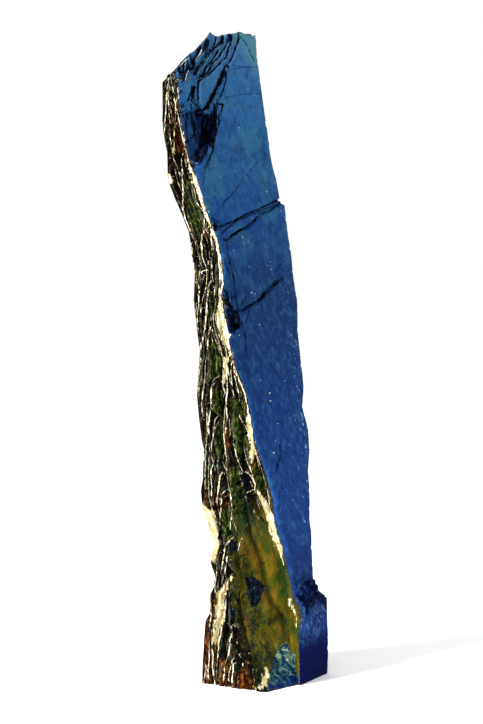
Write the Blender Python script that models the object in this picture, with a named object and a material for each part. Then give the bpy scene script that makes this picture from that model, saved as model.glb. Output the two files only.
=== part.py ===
"""Standing slate slab: one riven stone, two metres tall, resting on its flat foot.

Built in metres, +Z up, the broad cleavage face towards -Y, the layered edge towards -X.
The outline is lofted through level sections; falls, hollows and cracks are cut afterwards.
"""
import bpy
import bmesh
import math
import random
from mathutils import Vector
from mathutils.geometry import delaunay_2d_cdt

# ---------------------------------------------------------------- driving sizes, metres
HEIGHT = 2.0
BACK_Y = 0.224
FACE_LEAN = 0.0855
FACE_FOOT_Z = 0.28
FOOT_PROUD = 0.043
CENTRE_X = 0.0371
CENTRE_Y = 0.0894

# broad face, right-hand edge: height, x
RIGHT_EDGE = [(0.0, 0.288), (0.079, 0.288), (0.172, 0.282), (0.259, 0.277), (0.29, 0.268),
              (0.315, 0.266), (0.446, 0.275), (0.49, 0.269), (0.585, 0.285), (0.647, 0.286),
              (0.70, 0.299), (0.776, 0.302), (0.847, 0.278), (0.911, 0.292), (0.993, 0.286),
              (1.09, 0.279), (1.18, 0.287), (1.27, 0.272), (1.335, 0.267), (1.478, 0.253),
              (1.486, 0.234), (1.555, 0.223), (1.63, 0.200), (1.69, 0.193), (1.82, 0.178),
              (1.915, 0.165), (2.0, 0.164)]
# where the broad face stops and the layered edge starts: height, x
FACE_EDGE = [(0.0, 0.128), (0.08, 0.134), (0.155, 0.143), (0.205, 0.165), (0.272, 0.147),
             (0.30, 0.153), (0.364, 0.146), (0.439, 0.125), (0.519, 0.097), (0.586, 0.093),
             (0.683, 0.055), (0.736, 0.030), (0.785, 0.008), (0.858, 0.000), (0.918, -0.015),
             (0.966, -0.040), (1.0, -0.058), (1.05, -0.072), (1.108, -0.089), (1.218, -0.105),
             (1.254, -0.086), (1.336, -0.091), (1.383, -0.102), (1.43, -0.131), (1.49, -0.158),
             (1.567, -0.185), (1.605, -0.214), (1.667, -0.229), (1.73, -0.240), (1.79, -0.246),
             (1.829, -0.253), (2.0, -0.262)]
# rear corner of the layered edge: height, x
REAR_EDGE = [(0.0, -0.034), (0.071, -0.030), (0.134, -0.023), (0.196, -0.015), (0.215, 0.006),
             (0.276, 0.010), (0.293, 0.030), (0.33, 0.036), (0.373, 0.014), (0.429, 0.030),
             (0.489, 0.004), (0.547, -0.030), (0.61, -0.039), (0.647, -0.028), (0.72, -0.026),
             (0.767, -0.044), (0.847, -0.061), (0.909, -0.070), (0.964, -0.064), (1.038, -0.054),
             (1.133, -0.071), (1.197, -0.082), (1.266, -0.076), (1.338, -0.078), (1.404, -0.093),
             (1.46, -0.129), (1.50, -0.159), (1.55, -0.192), (1.58, -0.198), (1.65, -0.200),
             (1.708, -0.212), (1.80, -0.224), (1.847, -0.222), (2.0, -0.222)]
# shoulder of the lower flake, where the layered edge turns towards the front: height, x, y
SHOULDER = [(0.0, 0.000, 0.004), (0.05, -0.003, 0.028), (0.10, -0.006, 0.060),
            (0.15, -0.010, 0.095), (0.20, -0.004, 0.125), (0.25, 0.010, 0.145),
            (0.30, 0.033, 0.160), (0.40, 0.026, 0.168), (0.50, 0.010, 0.140),
            (0.60, -0.004, 0.122), (0.78, -0.010, 0.120)]
SHOULDER_PART = 0.50
# depth of the stone just beside the broad face: height, y
FLAKE_Y = [(0.0, -0.040), (0.10, -0.026), (0.20, -0.006), (0.29, 0.012), (0.36, 0.030),
           (0.45, 0.042), (0.55, 0.051), (0.66, 0.054), (0.80, 0.060), (0.95, 0.069)]
# shallow valley down the lower flake: height, share of the way from shoulder to broad face
VALLEY = [(0.03, 0.93), (0.185, 0.82), (0.24, 0.70), (0.305, 0.62), (0.355, 0.62),
          (0.415, 0.58), (0.47, 0.49), (0.56, 0.42)]
# lumps and hollows of the lower flake: share across, height, half width, half height, stand-out
LUMPS = [(0.10, 0.300, 0.13, 0.115, 0.016), (0.37, 0.345, 0.12, 0.050, -0.017),
         (0.33, 0.430, 0.13, 0.040, 0.007), (0.30, 0.180, 0.16, 0.070, 0.007),
         (0.62, 0.080, 0.22, 0.090, -0.010), (0.80, 0.300, 0.15, 0.130, 0.006),
         (0.14, 0.080, 0.12, 0.060, -0.009), (0.50, 0.240, 0.10, 0.045, -0.006)]
# upward ledge of the proud foot: x, height
FOOT_LEDGE = [(0.128, 0.262), (0.160, 0.276), (0.200, 0.293), (0.225, 0.302), (0.250, 0.285),
              (0.277, 0.264), (0.300, 0.255)]
# ragged top: skewed x (x led back along the diagonal), height
TOP_LINE = [(-0.30, 1.838), (-0.277, 1.844), (-0.247, 1.867), (-0.217, 1.881), (-0.145, 1.926),
            (-0.076, 1.967), (-0.041, 1.996), (-0.006, 1.990), (0.028, 1.994), (0.087, 1.999),
            (0.127, 2.0), (0.30, 2.0)]
# front layers missing beside the layered edge, so the boundary lies further back: height, depth
FRONT_LOSS = [(0.0, 0.0), (1.086, 0.0), (1.098, 0.020), (1.206, 0.020), (1.218, 0.0), (1.586, 0.0),
              (1.600, 0.028), (1.797, 0.028), (1.814, 0.021), (1.848, 0.021), (1.894, 0.030),
              (1.944, 0.038), (2.0, 0.038)]
TOP_SKEW = 1.43
TOP_SKEW_Y = 0.18
TOP_BLEND_Z = 1.62

LEVELS = [0.0, 0.035, 0.07, 0.105, 0.14, 0.17, 0.198, 0.214, 0.235, 0.252, 0.266, 0.28, 0.294,
          0.308, 0.324, 0.345, 0.375, 0.405, 0.435, 0.465, 0.50, 0.535, 0.57, 0.605, 0.64,
          0.68, 0.72, 0.76, 0.80, 0.84, 0.88, 0.92, 0.96, 1.0, 1.035, 1.07, 1.105, 1.14,
          1.175, 1.21, 1.245, 1.28, 1.315, 1.35, 1.385, 1.42, 1.45, 1.478, 1.486, 1.515, 1.55,
          1.585, 1.62, 1.655, 1.69, 1.73, 1.77, 1.81, 1.85, 1.89, 1.93, 1.965, 2.0]


def along(keys, at):
    """Straight-line value of a keyed curve."""
    if at <= keys[0][0]:
        return keys[0][1]
    for low, high in zip(keys, keys[1:]):
        if at <= high[0]:
            part = (at - low[0]) / (high[0] - low[0])
            return low[1] + part * (high[1] - low[1])
    return keys[-1][1]


def face_y(z):
    """Depth of the broad face at a height."""
    return FACE_LEAN * max(0.0, z - FACE_FOOT_Z)


def thickness(z):
    """Thickness of the stone beside the layered edge, where front layers may be missing."""
    return BACK_Y - face_y(z) - along(FRONT_LOSS, z)


def mixed(first, second, part):
    return (first[0] + (second[0] - first[0]) * part, first[1] + (second[1] - first[1]) * part)


def smooth(low, high, value):
    part = min(1.0, max(0.0, (value - low) / (high - low)))
    return part * part * (3.0 - 2.0 * part)


# ---------------------------------------------------------------- the layered edge
# Standing rims of the layered edge, rear to front. Each has its place across the edge as seen
# along the diagonal (height, share), and the share of the way to the next rim that is flat rim.
RIMS = [
    {"place": [(0.0, 0.04), (1.85, 0.04)], "flat": [(0.0, 0.30), (0.40, 0.35), (0.46, 0.75),
               (0.57, 0.70), (0.62, 0.35), (2.0, 0.30)]},
    {"place": [(0.01, 0.12), (0.13, 0.08), (0.26, 0.10), (0.38, 0.08), (0.51, 0.14), (0.63, 0.15),
               (0.69, 0.12), (0.78, 0.08), (0.87, 0.10), (0.99, 0.08), (1.05, 0.13), (1.17, 0.15),
               (1.23, 0.14), (1.29, 0.23), (1.36, 0.18), (1.39, 0.13), (1.46, 0.20), (1.50, 0.29),
               (1.62, 0.28), (1.68, 0.34), (1.73, 0.22), (1.79, 0.29), (1.85, 0.41)],
     "flat": [(0.0, 0.35), (1.3, 0.30), (2.0, 0.30)]},
    {"place": [(0.01, 0.18), (0.13, 0.15), (0.26, 0.17), (0.38, 0.14), (0.51, 0.20), (0.63, 0.20),
               (0.69, 0.17), (0.78, 0.14), (0.87, 0.17), (0.93, 0.17), (0.99, 0.24), (1.05, 0.29),
               (1.11, 0.24), (1.17, 0.35), (1.29, 0.39), (1.36, 0.33), (1.39, 0.30), (1.50, 0.38),
               (1.73, 0.45), (1.85, 0.52)],
     "flat": [(0.0, 0.45), (0.3, 0.40), (2.0, 0.22)]},
    {"place": [(0.01, 0.31), (0.07, 0.29), (0.15, 0.23), (0.18, 0.27), (0.21, 0.22), (0.34, 0.20),
               (0.36, 0.26), (0.39, 0.19), (0.46, 0.24), (0.48, 0.34), (0.50, 0.28), (0.60, 0.25),
               (0.75, 0.22), (0.81, 0.30), (0.845, 0.38), (0.866, 0.26), (0.93, 0.31),
               (0.951, 0.36), (0.966, 0.50), (0.98, 0.45), (1.20, 0.44), (1.50, 0.50),
               (1.62, 0.48), (1.73, 0.50), (1.85, 0.62)],
     "flat": [(0.0, 0.18), (0.15, 0.12), (0.25, 0.30), (0.36, 0.25), (0.45, 0.14), (2.0, 0.25)]},
    {"place": [(0.01, 0.55), (0.17, 0.48), (0.20, 0.42), (0.32, 0.38), (0.46, 0.42), (0.54, 0.37),
               (0.61, 0.43), (0.69, 0.38), (0.79, 0.45), (0.85, 0.57), (0.95, 0.60), (0.99, 0.70),
               (1.02, 0.70), (1.05, 0.60), (1.11, 0.52), (1.17, 0.55), (1.23, 0.51), (1.29, 0.55),
               (1.35, 0.60), (1.41, 0.54), (1.50, 0.55), (1.62, 0.55), (1.68, 0.58),
               (1.73, 0.55), (1.82, 0.71)],
     "flat": [(0.0, 0.10), (0.6, 0.15), (1.0, 0.35), (1.1, 0.20), (2.0, 0.25)]},
    {"place": [(0.01, 0.66), (0.12, 0.60), (0.41, 0.66), (0.57, 0.66), (0.68, 0.61), (0.81, 0.60),
               (0.90, 0.70), (0.99, 0.79), (1.05, 0.76), (1.11, 0.68), (1.23, 0.71), (1.35, 0.75),
               (1.41, 0.70), (1.56, 0.70), (1.68, 0.76), (1.73, 0.74), (1.82, 0.80)],
     "flat": [(0.0, 0.10), (0.7, 0.18), (1.0, 0.25), (1.2, 0.60), (1.6, 0.60), (1.7, 0.30),
              (2.0, 0.30)]},
    {"place": [(0.01, 0.95), (0.44, 0.94), (0.51, 0.90), (0.56, 0.84), (0.63, 0.76), (0.71, 0.76),
               (0.75, 0.84), (0.81, 0.90), (0.86, 0.90), (0.93, 0.83), (0.99, 0.89), (1.11, 0.86),
               (1.59, 0.87), (1.68, 0.90), (1.82, 0.93)],
     "flat": [(0.0, 0.30), (0.42, 0.50), (0.50, 0.60), (0.62, 0.40), (0.70, 0.35), (0.76, 0.70),
              (0.86, 0.60), (0.95, 0.40), (1.07, 0.85), (1.22, 0.85), (2.0, 0.70)]},
]
# heights where a lamina of each rim ends in a rounded tip
TIPS = [[0.20, 0.62, 0.98, 1.33, 1.60, 1.86], [0.24, 0.47, 0.83, 1.29, 1.49, 1.70],
        [0.29, 0.51, 0.92, 1.16, 1.38, 1.76], [0.16, 0.355, 0.475, 0.842, 0.962, 1.22, 1.45],
        [0.19, 0.40, 0.62, 0.93, 1.17, 1.37, 1.58, 1.80], [0.11, 0.46, 0.77, 1.04, 1.32, 1.56, 1.74],
        [0.30, 0.60, 0.80, 0.96, 1.22, 1.43, 1.66]]
RIM_DROP = 0.030
TIP_TAPER = 0.016
dice = random.Random(4881)
sway = [(dice.uniform(0.0, 6.3), dice.uniform(0.0, 6.3), dice.uniform(0.0, 6.3)) for rim in RIMS]


def envelope(part, z):
    """Straight run of the layered edge in plan, rear corner to broad face."""
    rear = (along(REAR_EDGE, z), BACK_Y - 0.004)
    flake_y = along(FLAKE_Y, z) if z < 0.95 else face_y(z) + 0.012
    front = (along(FACE_EDGE, z) - 0.003, flake_y)
    straight = mixed(rear, front, SHOULDER_PART)
    bend = 1.0 - smooth(0.60, 0.82, z)
    knee = (along([(h, x) for h, x, y in SHOULDER], z), along([(h, y) for h, x, y in SHOULDER], z))
    knee = mixed(straight, knee, bend)
    if part <= SHOULDER_PART:
        x, y = mixed(rear, knee, part / SHOULDER_PART)
    else:
        x, y = mixed(knee, front, (part - SHOULDER_PART) / (1.0 - SHOULDER_PART))
    loss = along(FRONT_LOSS, z) * part ** 1.5
    return (x + TOP_SKEW * loss, y + loss)


def edge_share(seen, z):
    """Share along the envelope of a place given as a share of the edge's diagonal width."""
    low, middle, high = [x - TOP_SKEW * y for x, y in
                         (envelope(0.0, z), envelope(SHOULDER_PART, z), envelope(1.0, z))]
    wanted = low + seen * (high - low)
    if wanted < middle:
        return SHOULDER_PART * (wanted - low) / (middle - low)
    return SHOULDER_PART + (1.0 - SHOULDER_PART) * (wanted - middle) / (high - middle)


def flake_share(part, z):
    """1 on the calm lower flake, 0 on the broken rims."""
    return smooth(0.46, 0.58, part) * (1.0 - smooth(0.44, 0.62, z))


def tip_state(index, z):
    """1 just under a lamina's tip, dying away below it; 0 just above one."""
    floor = -0.3
    for height in TIPS[index]:
        if z <= height:
            under = height - z
            run = height - floor
            return (1.0 - math.exp(-under / TIP_TAPER)) * (1.0 - 0.6 * min(1.0, under / run))
        floor = height
    return 0.4


def rim_out(index, z):
    """How far a rim stands out from the envelope at a height."""
    spread = min(1.0, thickness(z) / 0.16)
    one, two, three = sway[index]
    wave = 0.0025 * math.sin(17.0 * z + one) + 0.0015 * math.sin(41.0 * z + two)
    corner = 0.3 if index == 0 else 1.0
    return spread * corner * (0.016 * (tip_state(index, z) - 0.80) + wave)


def rim_drop(index, gap, z):
    """Depth of the sloping tread in front of a rim."""
    spread = min(1.0, thickness(z) / 0.14)
    one, two, three = sway[index]
    vary = 0.80 + 0.20 * math.sin(11.0 * z + three) + 0.25 * (tip_state(index, z) - 0.5)
    return spread * vary * min(RIM_DROP, 0.006 + 0.75 * gap)


def lumps(part, z):
    """Stand-out of the lower flake's own lumps, hollows and valley."""
    if part <= SHOULDER_PART or z > 0.62:
        return 0.0
    across = (part - SHOULDER_PART) / (1.0 - SHOULDER_PART)
    total = 0.0
    for place, height, half_wide, half_high, out in LUMPS:
        far = ((across - place) / half_wide) ** 2 + ((z - height) / half_high) ** 2
        total += out * max(0.0, 1.0 - far) ** 0.7
    valley = along(VALLEY, z)
    total -= 0.008 * math.exp(-((across - valley) / 0.07) ** 2) * (1.0 - smooth(0.50, 0.60, z))
    return total * smooth(1.0, 0.90, across) if across > 0.9 else total


def edge_columns(z):
    """Plan points of the layered edge from the rear corner to the broad face."""
    places = [edge_share(along(rim["place"], z), z) for rim in RIMS] + [0.985]
    plan = [(0.0, 0.001)]
    for index, rim in enumerate(RIMS):
        start = places[index]
        wide = places[index + 1] - start
        gap = wide * thickness(z)
        out = rim_out(index, z)
        calm = 1.0 - 0.80 * flake_share(start + 0.5 * wide, z)
        drop = rim_drop(index, gap, z) * calm
        flat = along(rim["flat"], z)
        if index in (3, 4, 5):
            drop *= 0.45 + 0.55 * smooth(0.05, 0.24, z)
        if index == len(RIMS) - 1:
            drop *= 0.40
        if index == 0:
            plan.append((start * 0.96, out - 0.004))
        plan.append((start, out))
        plan.append((start + flat * wide, out * 0.8 - 0.0008))
        plan.append((start + (flat + 0.28 * (0.95 - flat)) * wide, out - 0.60 * drop))
        plan.append((start + (flat + 0.65 * (0.95 - flat)) * wide, out - 0.88 * drop))
        plan.append((start + 0.95 * wide, out - 1.10 * drop))
        if index < len(RIMS) - 1:
            ahead = rim_out(index + 1, z)
            plan.append((start + 0.985 * wide, 0.5 * (ahead + out) - 0.80 * drop))
    points = []
    for part, out in plan:
        x, y = envelope(part, z)
        swell = lumps(part, z)
        turn = smooth(0.52, 0.60, part) * (1.0 - smooth(0.44, 0.62, z))
        inward = mixed((1.0, 0.0), (0.62, 0.78), turn)
        points.append((x - inward[0] * out - 0.62 * swell, y - inward[1] * out - 0.60 * swell))
    points.append(envelope(1.0, z))
    return points


# ---------------------------------------------------------------- level sections
def front_columns(z):
    """Plan points across the broad face, layered edge to right-hand edge."""
    loss = along(FRONT_LOSS, z)
    left = along(FACE_EDGE, z) + TOP_SKEW * loss
    right = along(RIGHT_EDGE, z)
    points = []
    for part in (0.0, 0.02, 0.12, 0.28, 0.44, 0.60, 0.75, 0.90, 1.0):
        x = left + part * (right - left)
        ledge = along(FOOT_LEDGE, x)
        proud = FOOT_PROUD * (1.0 - smooth(ledge - 0.016, ledge + 0.016, z))
        wave = 0.0012 * math.sin(7.0 * z + 9.0 * x) + 0.0008 * math.sin(31.0 * z - 17.0 * x)
        below = 0.0035 * (1.0 - smooth(1.40, 1.47, z - 0.15 * x))
        bevel = loss + 0.004 if part == 0.0 else 0.004 if part == 1.0 else 0.0
        points.append((x, face_y(z) - proud - below + wave + bevel + 0.0035))
    return points


def right_columns(z):
    """Plan points of the plain broken edge on the right, front to rear."""
    right = along(RIGHT_EDGE, z)
    front = face_y(z) + 0.003
    points = []
    for index, part in enumerate((0.12, 0.26, 0.42, 0.58, 0.74, 0.89)):
        inset = 0.002 + 0.014 * (1.0 - tip_state(index, 2.0 - z)) * (0.6 + 0.4 * part)
        points.append((right - inset, front + part * (BACK_Y - front)))
    return points


def rear_columns(z):
    """Plan points of the rear cleavage face, right to left."""
    right = along(RIGHT_EDGE, z) - 0.010
    left = along(REAR_EDGE, z) + 0.006
    points = []
    for part in (0.0, 0.16, 0.33, 0.50, 0.67, 0.84, 1.0):
        x = right + part * (left - right)
        shallow = 0.0015 * math.sin(5.0 * z - 8.0 * x)
        bevel = 0.003 if part == 0.0 else 0.0
        points.append((x, BACK_Y - 0.002 + shallow - bevel))
    return points


def section(z):
    return edge_columns(z) + front_columns(z) + right_columns(z) + rear_columns(z)


def top_height(x, y):
    skewed = x - TOP_SKEW * (y - TOP_SKEW_Y)
    return along(TOP_LINE, skewed)


def finished_height(x, y, z):
    """Levels above the blend height are drawn down to the ragged top."""
    if z <= TOP_BLEND_Z:
        return z
    part = (z - TOP_BLEND_Z) / (HEIGHT - TOP_BLEND_Z)
    return TOP_BLEND_Z + part * (top_height(x, y) - TOP_BLEND_Z)


# ---------------------------------------------------------------- scene and material
for item in list(bpy.data.objects):
    bpy.data.objects.remove(item)

stone = bpy.data.materials.new("slate")
stone.use_nodes = True
shader = stone.node_tree.nodes["Principled BSDF"]
shader.inputs["Base Color"].default_value = (0.030, 0.085, 0.20, 1.0)
shader.inputs["Roughness"].default_value = 0.72
shader.inputs["IOR"].default_value = 1.55

part_collection = bpy.data.collections.new("standing_slate_slab")
bpy.context.scene.collection.children.link(part_collection)
cutter_collection = bpy.data.collections.new("cutters")
bpy.context.scene.collection.children.link(cutter_collection)


def solid(name, points, faces, collection):
    mesh = bpy.data.meshes.new(name)
    shape = bmesh.new()
    made = [shape.verts.new(point) for point in points]
    for face in faces:
        shape.faces.new([made[index] for index in face])
    bmesh.ops.recalc_face_normals(shape, faces=shape.faces[:])
    shape.to_mesh(mesh)
    shape.free()
    thing = bpy.data.objects.new(name, mesh)
    collection.objects.link(thing)
    return thing


# ---------------------------------------------------------------- loft of the slab
rings = []
for level in LEVELS:
    ring = []
    for x, y in section(level):
        ring.append((x, y, finished_height(x, y, level)))
    rings.append(ring)

count = len(rings[0])
points = [point for ring in rings for point in ring]
faces = []
for ring in range(len(rings) - 1):
    for column in range(count):
        beside = (column + 1) % count
        low = ring * count
        faces.append((low + column, low + beside, low + count + beside))
        faces.append((low + column, low + count + beside, low + count + column))
for ring, flip in ((0, True), (len(rings) - 1, False)):
    first = ring * count
    outline = [Vector((point[0], point[1])) for point in rings[ring]]
    loop = [list(range(count))]
    found = delaunay_2d_cdt(outline, [], loop, 1, 1e-7)
    for face in found[2]:
        corners = [first + found[3][index][0] for index in face]
        faces.append(tuple(reversed(corners)) if flip else tuple(corners))
slab = solid("slate_slab", points, faces, part_collection)
slab.data.materials.append(stone)


# ---------------------------------------------------------------- cutters
def fall(name, outline, depth, rear=False):
    """A prism that takes the outer layers off inside an x, z outline, down to a new cleavage."""
    made = []
    for x, z in outline:
        made.append((x, 0.50 if rear else -0.30, z))
    for x, z in outline:
        made.append((x, BACK_Y - depth if rear else face_y(z) + depth, z))
    size = len(outline)
    sides = [tuple(range(size)), tuple(reversed(range(size, 2 * size)))]
    for index in range(size):
        after = (index + 1) % size
        sides.append((index, after, size + after, size + index))
    tool = solid(name, made, sides, cutter_collection)
    tool.data.materials.append(stone)
    tool.hide_render = True
    tool.display_type = "WIRE"
    return tool


def crack(name, line, width, depth):
    """A tapered V cut that follows an x, z line across the broad face."""
    made = []
    last = len(line) - 1
    for index, (x, z) in enumerate(line):
        before = line[max(0, index - 1)]
        after = line[min(last, index + 1)]
        run = Vector((after[0] - before[0], after[1] - before[1])).normalized()
        taper = 0.35 if index in (0, last) else 1.0
        half = 0.5 * width * taper
        side_x = -run.y * half
        side_z = run.x * half
        y = face_y(z)
        made.append((x + side_x * 3.0, y - 2.0 * depth * taper, z + side_z * 3.0))
        made.append((x - side_x * 3.0, y - 2.0 * depth * taper, z - side_z * 3.0))
        made.append((x - 0.3 * side_x, y + depth * taper, z - 0.3 * side_z))
    sides = [(0, 1, 2), (3 * last + 2, 3 * last + 1, 3 * last)]
    for index in range(last):
        low = 3 * index
        for corner in range(3):
            beside = (corner + 1) % 3
            sides.append((low + corner, low + 3 + corner, low + 3 + beside, low + beside))
    tool = solid(name, made, sides, cutter_collection)
    tool.data.materials.append(stone)
    tool.hide_render = True
    tool.display_type = "WIRE"
    return tool


cutters = []
# front layers fallen from the top left corner, one lamina after another
cutters.append(fall("fall_one", [(0.075, 2.06), (0.063, 1.985), (0.042, 1.943), (-0.007, 1.893),
                                 (-0.019, 1.846), (-0.071, 1.788), (-0.117, 1.735),
                                 (-0.165, 1.700), (-0.40, 1.690), (-0.40, 2.06)], 0.0075))
cutters.append(fall("fall_two", [(0.010, 2.06), (0.008, 1.962), (-0.040, 1.916), (-0.059, 1.893),
                                 (-0.103, 1.868), (-0.160, 1.842), (-0.168, 1.780),
                                 (-0.190, 1.745), (-0.40, 1.735), (-0.40, 2.06)], 0.0155))
cutters.append(fall("fall_three", [(-0.030, 2.06), (-0.036, 1.968), (-0.099, 1.930),
                                   (-0.131, 1.896), (-0.180, 1.860), (-0.205, 1.815),
                                   (-0.214, 1.770), (-0.40, 1.755), (-0.40, 2.06)], 0.0235))
cutters.append(fall("fall_four", [(-0.100, 2.06), (-0.123, 1.939), (-0.171, 1.904),
                                  (-0.207, 1.857), (-0.232, 1.832), (-0.40, 1.815),
                                  (-0.40, 2.06)], 0.0315))
# deep hollow under the top falls, open to the layered edge
cutters.append(fall("hollow", [(-0.300, 1.742), (-0.160, 1.758), (-0.103, 1.742), (-0.112, 1.672),
                               (-0.146, 1.649), (-0.158, 1.621), (-0.181, 1.603),
                               (-0.198, 1.590), (-0.300, 1.596)], 0.026))
# pocket beside the layered edge under the second ledge
cutters.append(fall("pocket", [(-0.200, 1.190), (-0.094, 1.213), (-0.079, 1.189), (-0.063, 1.169),
                               (-0.044, 1.149), (-0.030, 1.117), (-0.065, 1.096),
                               (-0.200, 1.092)], 0.018))
# layers fallen from the rear face
cutters.append(fall("rear_fall_top", [(0.40, 2.06), (0.40, 1.560), (0.180, 1.585), (0.110, 1.640),
                                      (0.060, 1.655), (0.020, 1.745), (-0.045, 1.790),
                                      (-0.080, 1.870), (-0.150, 2.06)], 0.0065, rear=True))
cutters.append(fall("rear_fall_side", [(-0.40, 1.330), (-0.060, 1.310), (-0.005, 1.215),
                                       (0.030, 1.150), (0.020, 1.040), (0.062, 0.930),
                                       (0.040, 0.820), (0.005, 0.735), (-0.40, 0.700)],
                    0.0075, rear=True))
cutters.append(fall("rear_fall_foot", [(0.40, 0.520), (0.250, 0.500), (0.205, 0.410),
                                       (0.150, 0.365), (0.120, 0.260), (0.070, 0.190),
                                       (0.062, 0.080), (0.030, -0.050), (0.40, -0.050)],
                    0.0060, rear=True))
# broken joints that run across the broad face
cutters.append(crack("upper_ledge", [(-0.120, 1.372), (-0.068, 1.382), (-0.037, 1.395),
                                     (0.038, 1.416), (0.106, 1.448), (0.165, 1.464),
                                     (0.245, 1.490)], 0.010, 0.013))
cutters.append(crack("upper_joint", [(-0.115, 1.397), (-0.063, 1.416), (-0.010, 1.437),
                                     (0.032, 1.452), (0.113, 1.470), (0.180, 1.486)],
                     0.006, 0.007))
cutters.append(crack("lower_ledge", [(-0.075, 1.168), (-0.041, 1.170), (0.014, 1.177),
                                     (0.072, 1.192), (0.115, 1.212), (0.174, 1.238),
                                     (0.215, 1.259)], 0.009, 0.012))
cutters.append(crack("lower_joint", [(0.076, 1.206), (0.129, 1.231), (0.173, 1.250),
                                     (0.190, 1.268)], 0.006, 0.007))
cutters.append(crack("short_crack", [(0.100, 0.673), (0.132, 0.714), (0.137, 0.751)],
                     0.008, 0.006))

for tool in cutters:
    cut = slab.modifiers.new(tool.name, "BOOLEAN")
    cut.operation = "DIFFERENCE"
    cut.solver = "EXACT"
    cut.object = tool

# ---------------------------------------------------------------- origin under the middle
for thing in [slab] + cutters:
    for vertex in thing.data.vertices:
        vertex.co.x -= CENTRE_X
        vertex.co.y -= CENTRE_Y
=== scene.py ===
# %% [markdown]
# The pale of the rims is partly worn stone and partly a painted highlight, and the dark of the joints is
# partly painted shade.
# # A standing slate slab
# This lesson dresses one natural stone: a slab of riven slate, two metres tall, standing on its own
# foot. Slate splits along parallel planes, so the stone has two very different kinds of surface. The
# broad faces are cleavage planes, nearly flat and blue-grey. The broken edge shows the planes end on,
# as a stack of thin laminae with pale worn rims and dark open joints between them.
# We load the measured solid as a frame first, so that everything drawn here lands exactly on it.

# %% Load the frame
import math
import random
import bpy
import numpy as np
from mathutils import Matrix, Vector
from mathutils.geometry import delaunay_2d_cdt


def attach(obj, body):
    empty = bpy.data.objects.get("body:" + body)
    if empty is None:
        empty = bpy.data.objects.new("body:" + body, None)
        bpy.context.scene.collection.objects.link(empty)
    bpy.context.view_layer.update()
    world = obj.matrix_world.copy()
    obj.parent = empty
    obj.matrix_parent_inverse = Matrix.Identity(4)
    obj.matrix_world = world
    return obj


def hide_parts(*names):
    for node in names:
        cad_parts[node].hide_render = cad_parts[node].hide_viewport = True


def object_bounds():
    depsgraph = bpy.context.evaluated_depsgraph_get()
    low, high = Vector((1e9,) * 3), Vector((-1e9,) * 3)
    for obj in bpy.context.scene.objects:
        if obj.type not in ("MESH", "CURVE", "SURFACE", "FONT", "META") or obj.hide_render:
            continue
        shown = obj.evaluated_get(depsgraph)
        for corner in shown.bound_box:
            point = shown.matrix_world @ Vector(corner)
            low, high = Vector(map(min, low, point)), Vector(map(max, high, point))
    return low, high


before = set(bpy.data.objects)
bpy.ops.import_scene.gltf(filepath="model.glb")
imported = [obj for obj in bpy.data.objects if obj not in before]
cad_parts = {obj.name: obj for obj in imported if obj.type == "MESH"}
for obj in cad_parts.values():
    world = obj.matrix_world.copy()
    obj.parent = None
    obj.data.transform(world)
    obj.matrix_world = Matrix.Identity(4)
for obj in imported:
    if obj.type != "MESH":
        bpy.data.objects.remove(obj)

solid_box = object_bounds()
print("solid's box:", [tuple(round(value, 3) for value in corner) for corner in solid_box])

# %% [markdown]
# ## The stone's main lines
# A stonemason would describe this slab by a few lines drawn up its height: where its right edge runs,
# where the broad face stops, where the rear corner runs, and how far the face leans back. Each line
# is a short list of (height, distance) in metres, and one function reads a value off it at any
# height. They follow the solid's own lines, so the fine surface stays on the solid.

# %% Main lines of the slab
HEIGHT = 2.0
BACK_Y = 0.224
FACE_LEAN = 0.0855
FACE_FOOT_Z = 0.28
FOOT_PROUD = 0.043
CENTRE_X = 0.0371
CENTRE_Y = 0.0894
RIGHT_EDGE = [(0.0, 0.288), (0.079, 0.288), (0.172, 0.282), (0.259, 0.277), (0.29, 0.268),
              (0.315, 0.266), (0.446, 0.275), (0.49, 0.269), (0.585, 0.285), (0.647, 0.286),
              (0.70, 0.299), (0.776, 0.302), (0.847, 0.278), (0.911, 0.292), (0.993, 0.286),
              (1.09, 0.279), (1.18, 0.287), (1.27, 0.272), (1.335, 0.267), (1.478, 0.253),
              (1.486, 0.234), (1.555, 0.223), (1.63, 0.200), (1.69, 0.193), (1.82, 0.178),
              (1.915, 0.165), (2.0, 0.164)]
FACE_EDGE = [(0.0, 0.128), (0.08, 0.134), (0.155, 0.143), (0.205, 0.165), (0.272, 0.147),
             (0.30, 0.153), (0.364, 0.146), (0.439, 0.125), (0.519, 0.097), (0.586, 0.093),
             (0.683, 0.055), (0.736, 0.030), (0.785, 0.008), (0.858, 0.000), (0.918, -0.015),
             (0.966, -0.040), (1.0, -0.058), (1.05, -0.072), (1.108, -0.089), (1.218, -0.105),
             (1.254, -0.086), (1.336, -0.091), (1.383, -0.102), (1.43, -0.131), (1.49, -0.158),
             (1.567, -0.185), (1.605, -0.214), (1.667, -0.229), (1.73, -0.240), (1.79, -0.246),
             (1.829, -0.253), (2.0, -0.262)]
REAR_EDGE = [(0.0, -0.034), (0.071, -0.030), (0.134, -0.023), (0.196, -0.015), (0.215, 0.006),
             (0.276, 0.010), (0.293, 0.030), (0.33, 0.036), (0.373, 0.014), (0.429, 0.030),
             (0.489, 0.004), (0.547, -0.030), (0.61, -0.039), (0.647, -0.028), (0.72, -0.026),
             (0.767, -0.044), (0.847, -0.061), (0.909, -0.070), (0.964, -0.064), (1.038, -0.054),
             (1.133, -0.071), (1.197, -0.082), (1.266, -0.076), (1.338, -0.078), (1.404, -0.093),
             (1.46, -0.129), (1.50, -0.159), (1.55, -0.192), (1.58, -0.198), (1.65, -0.200),
             (1.708, -0.212), (1.80, -0.224), (1.847, -0.222), (2.0, -0.222)]
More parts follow.
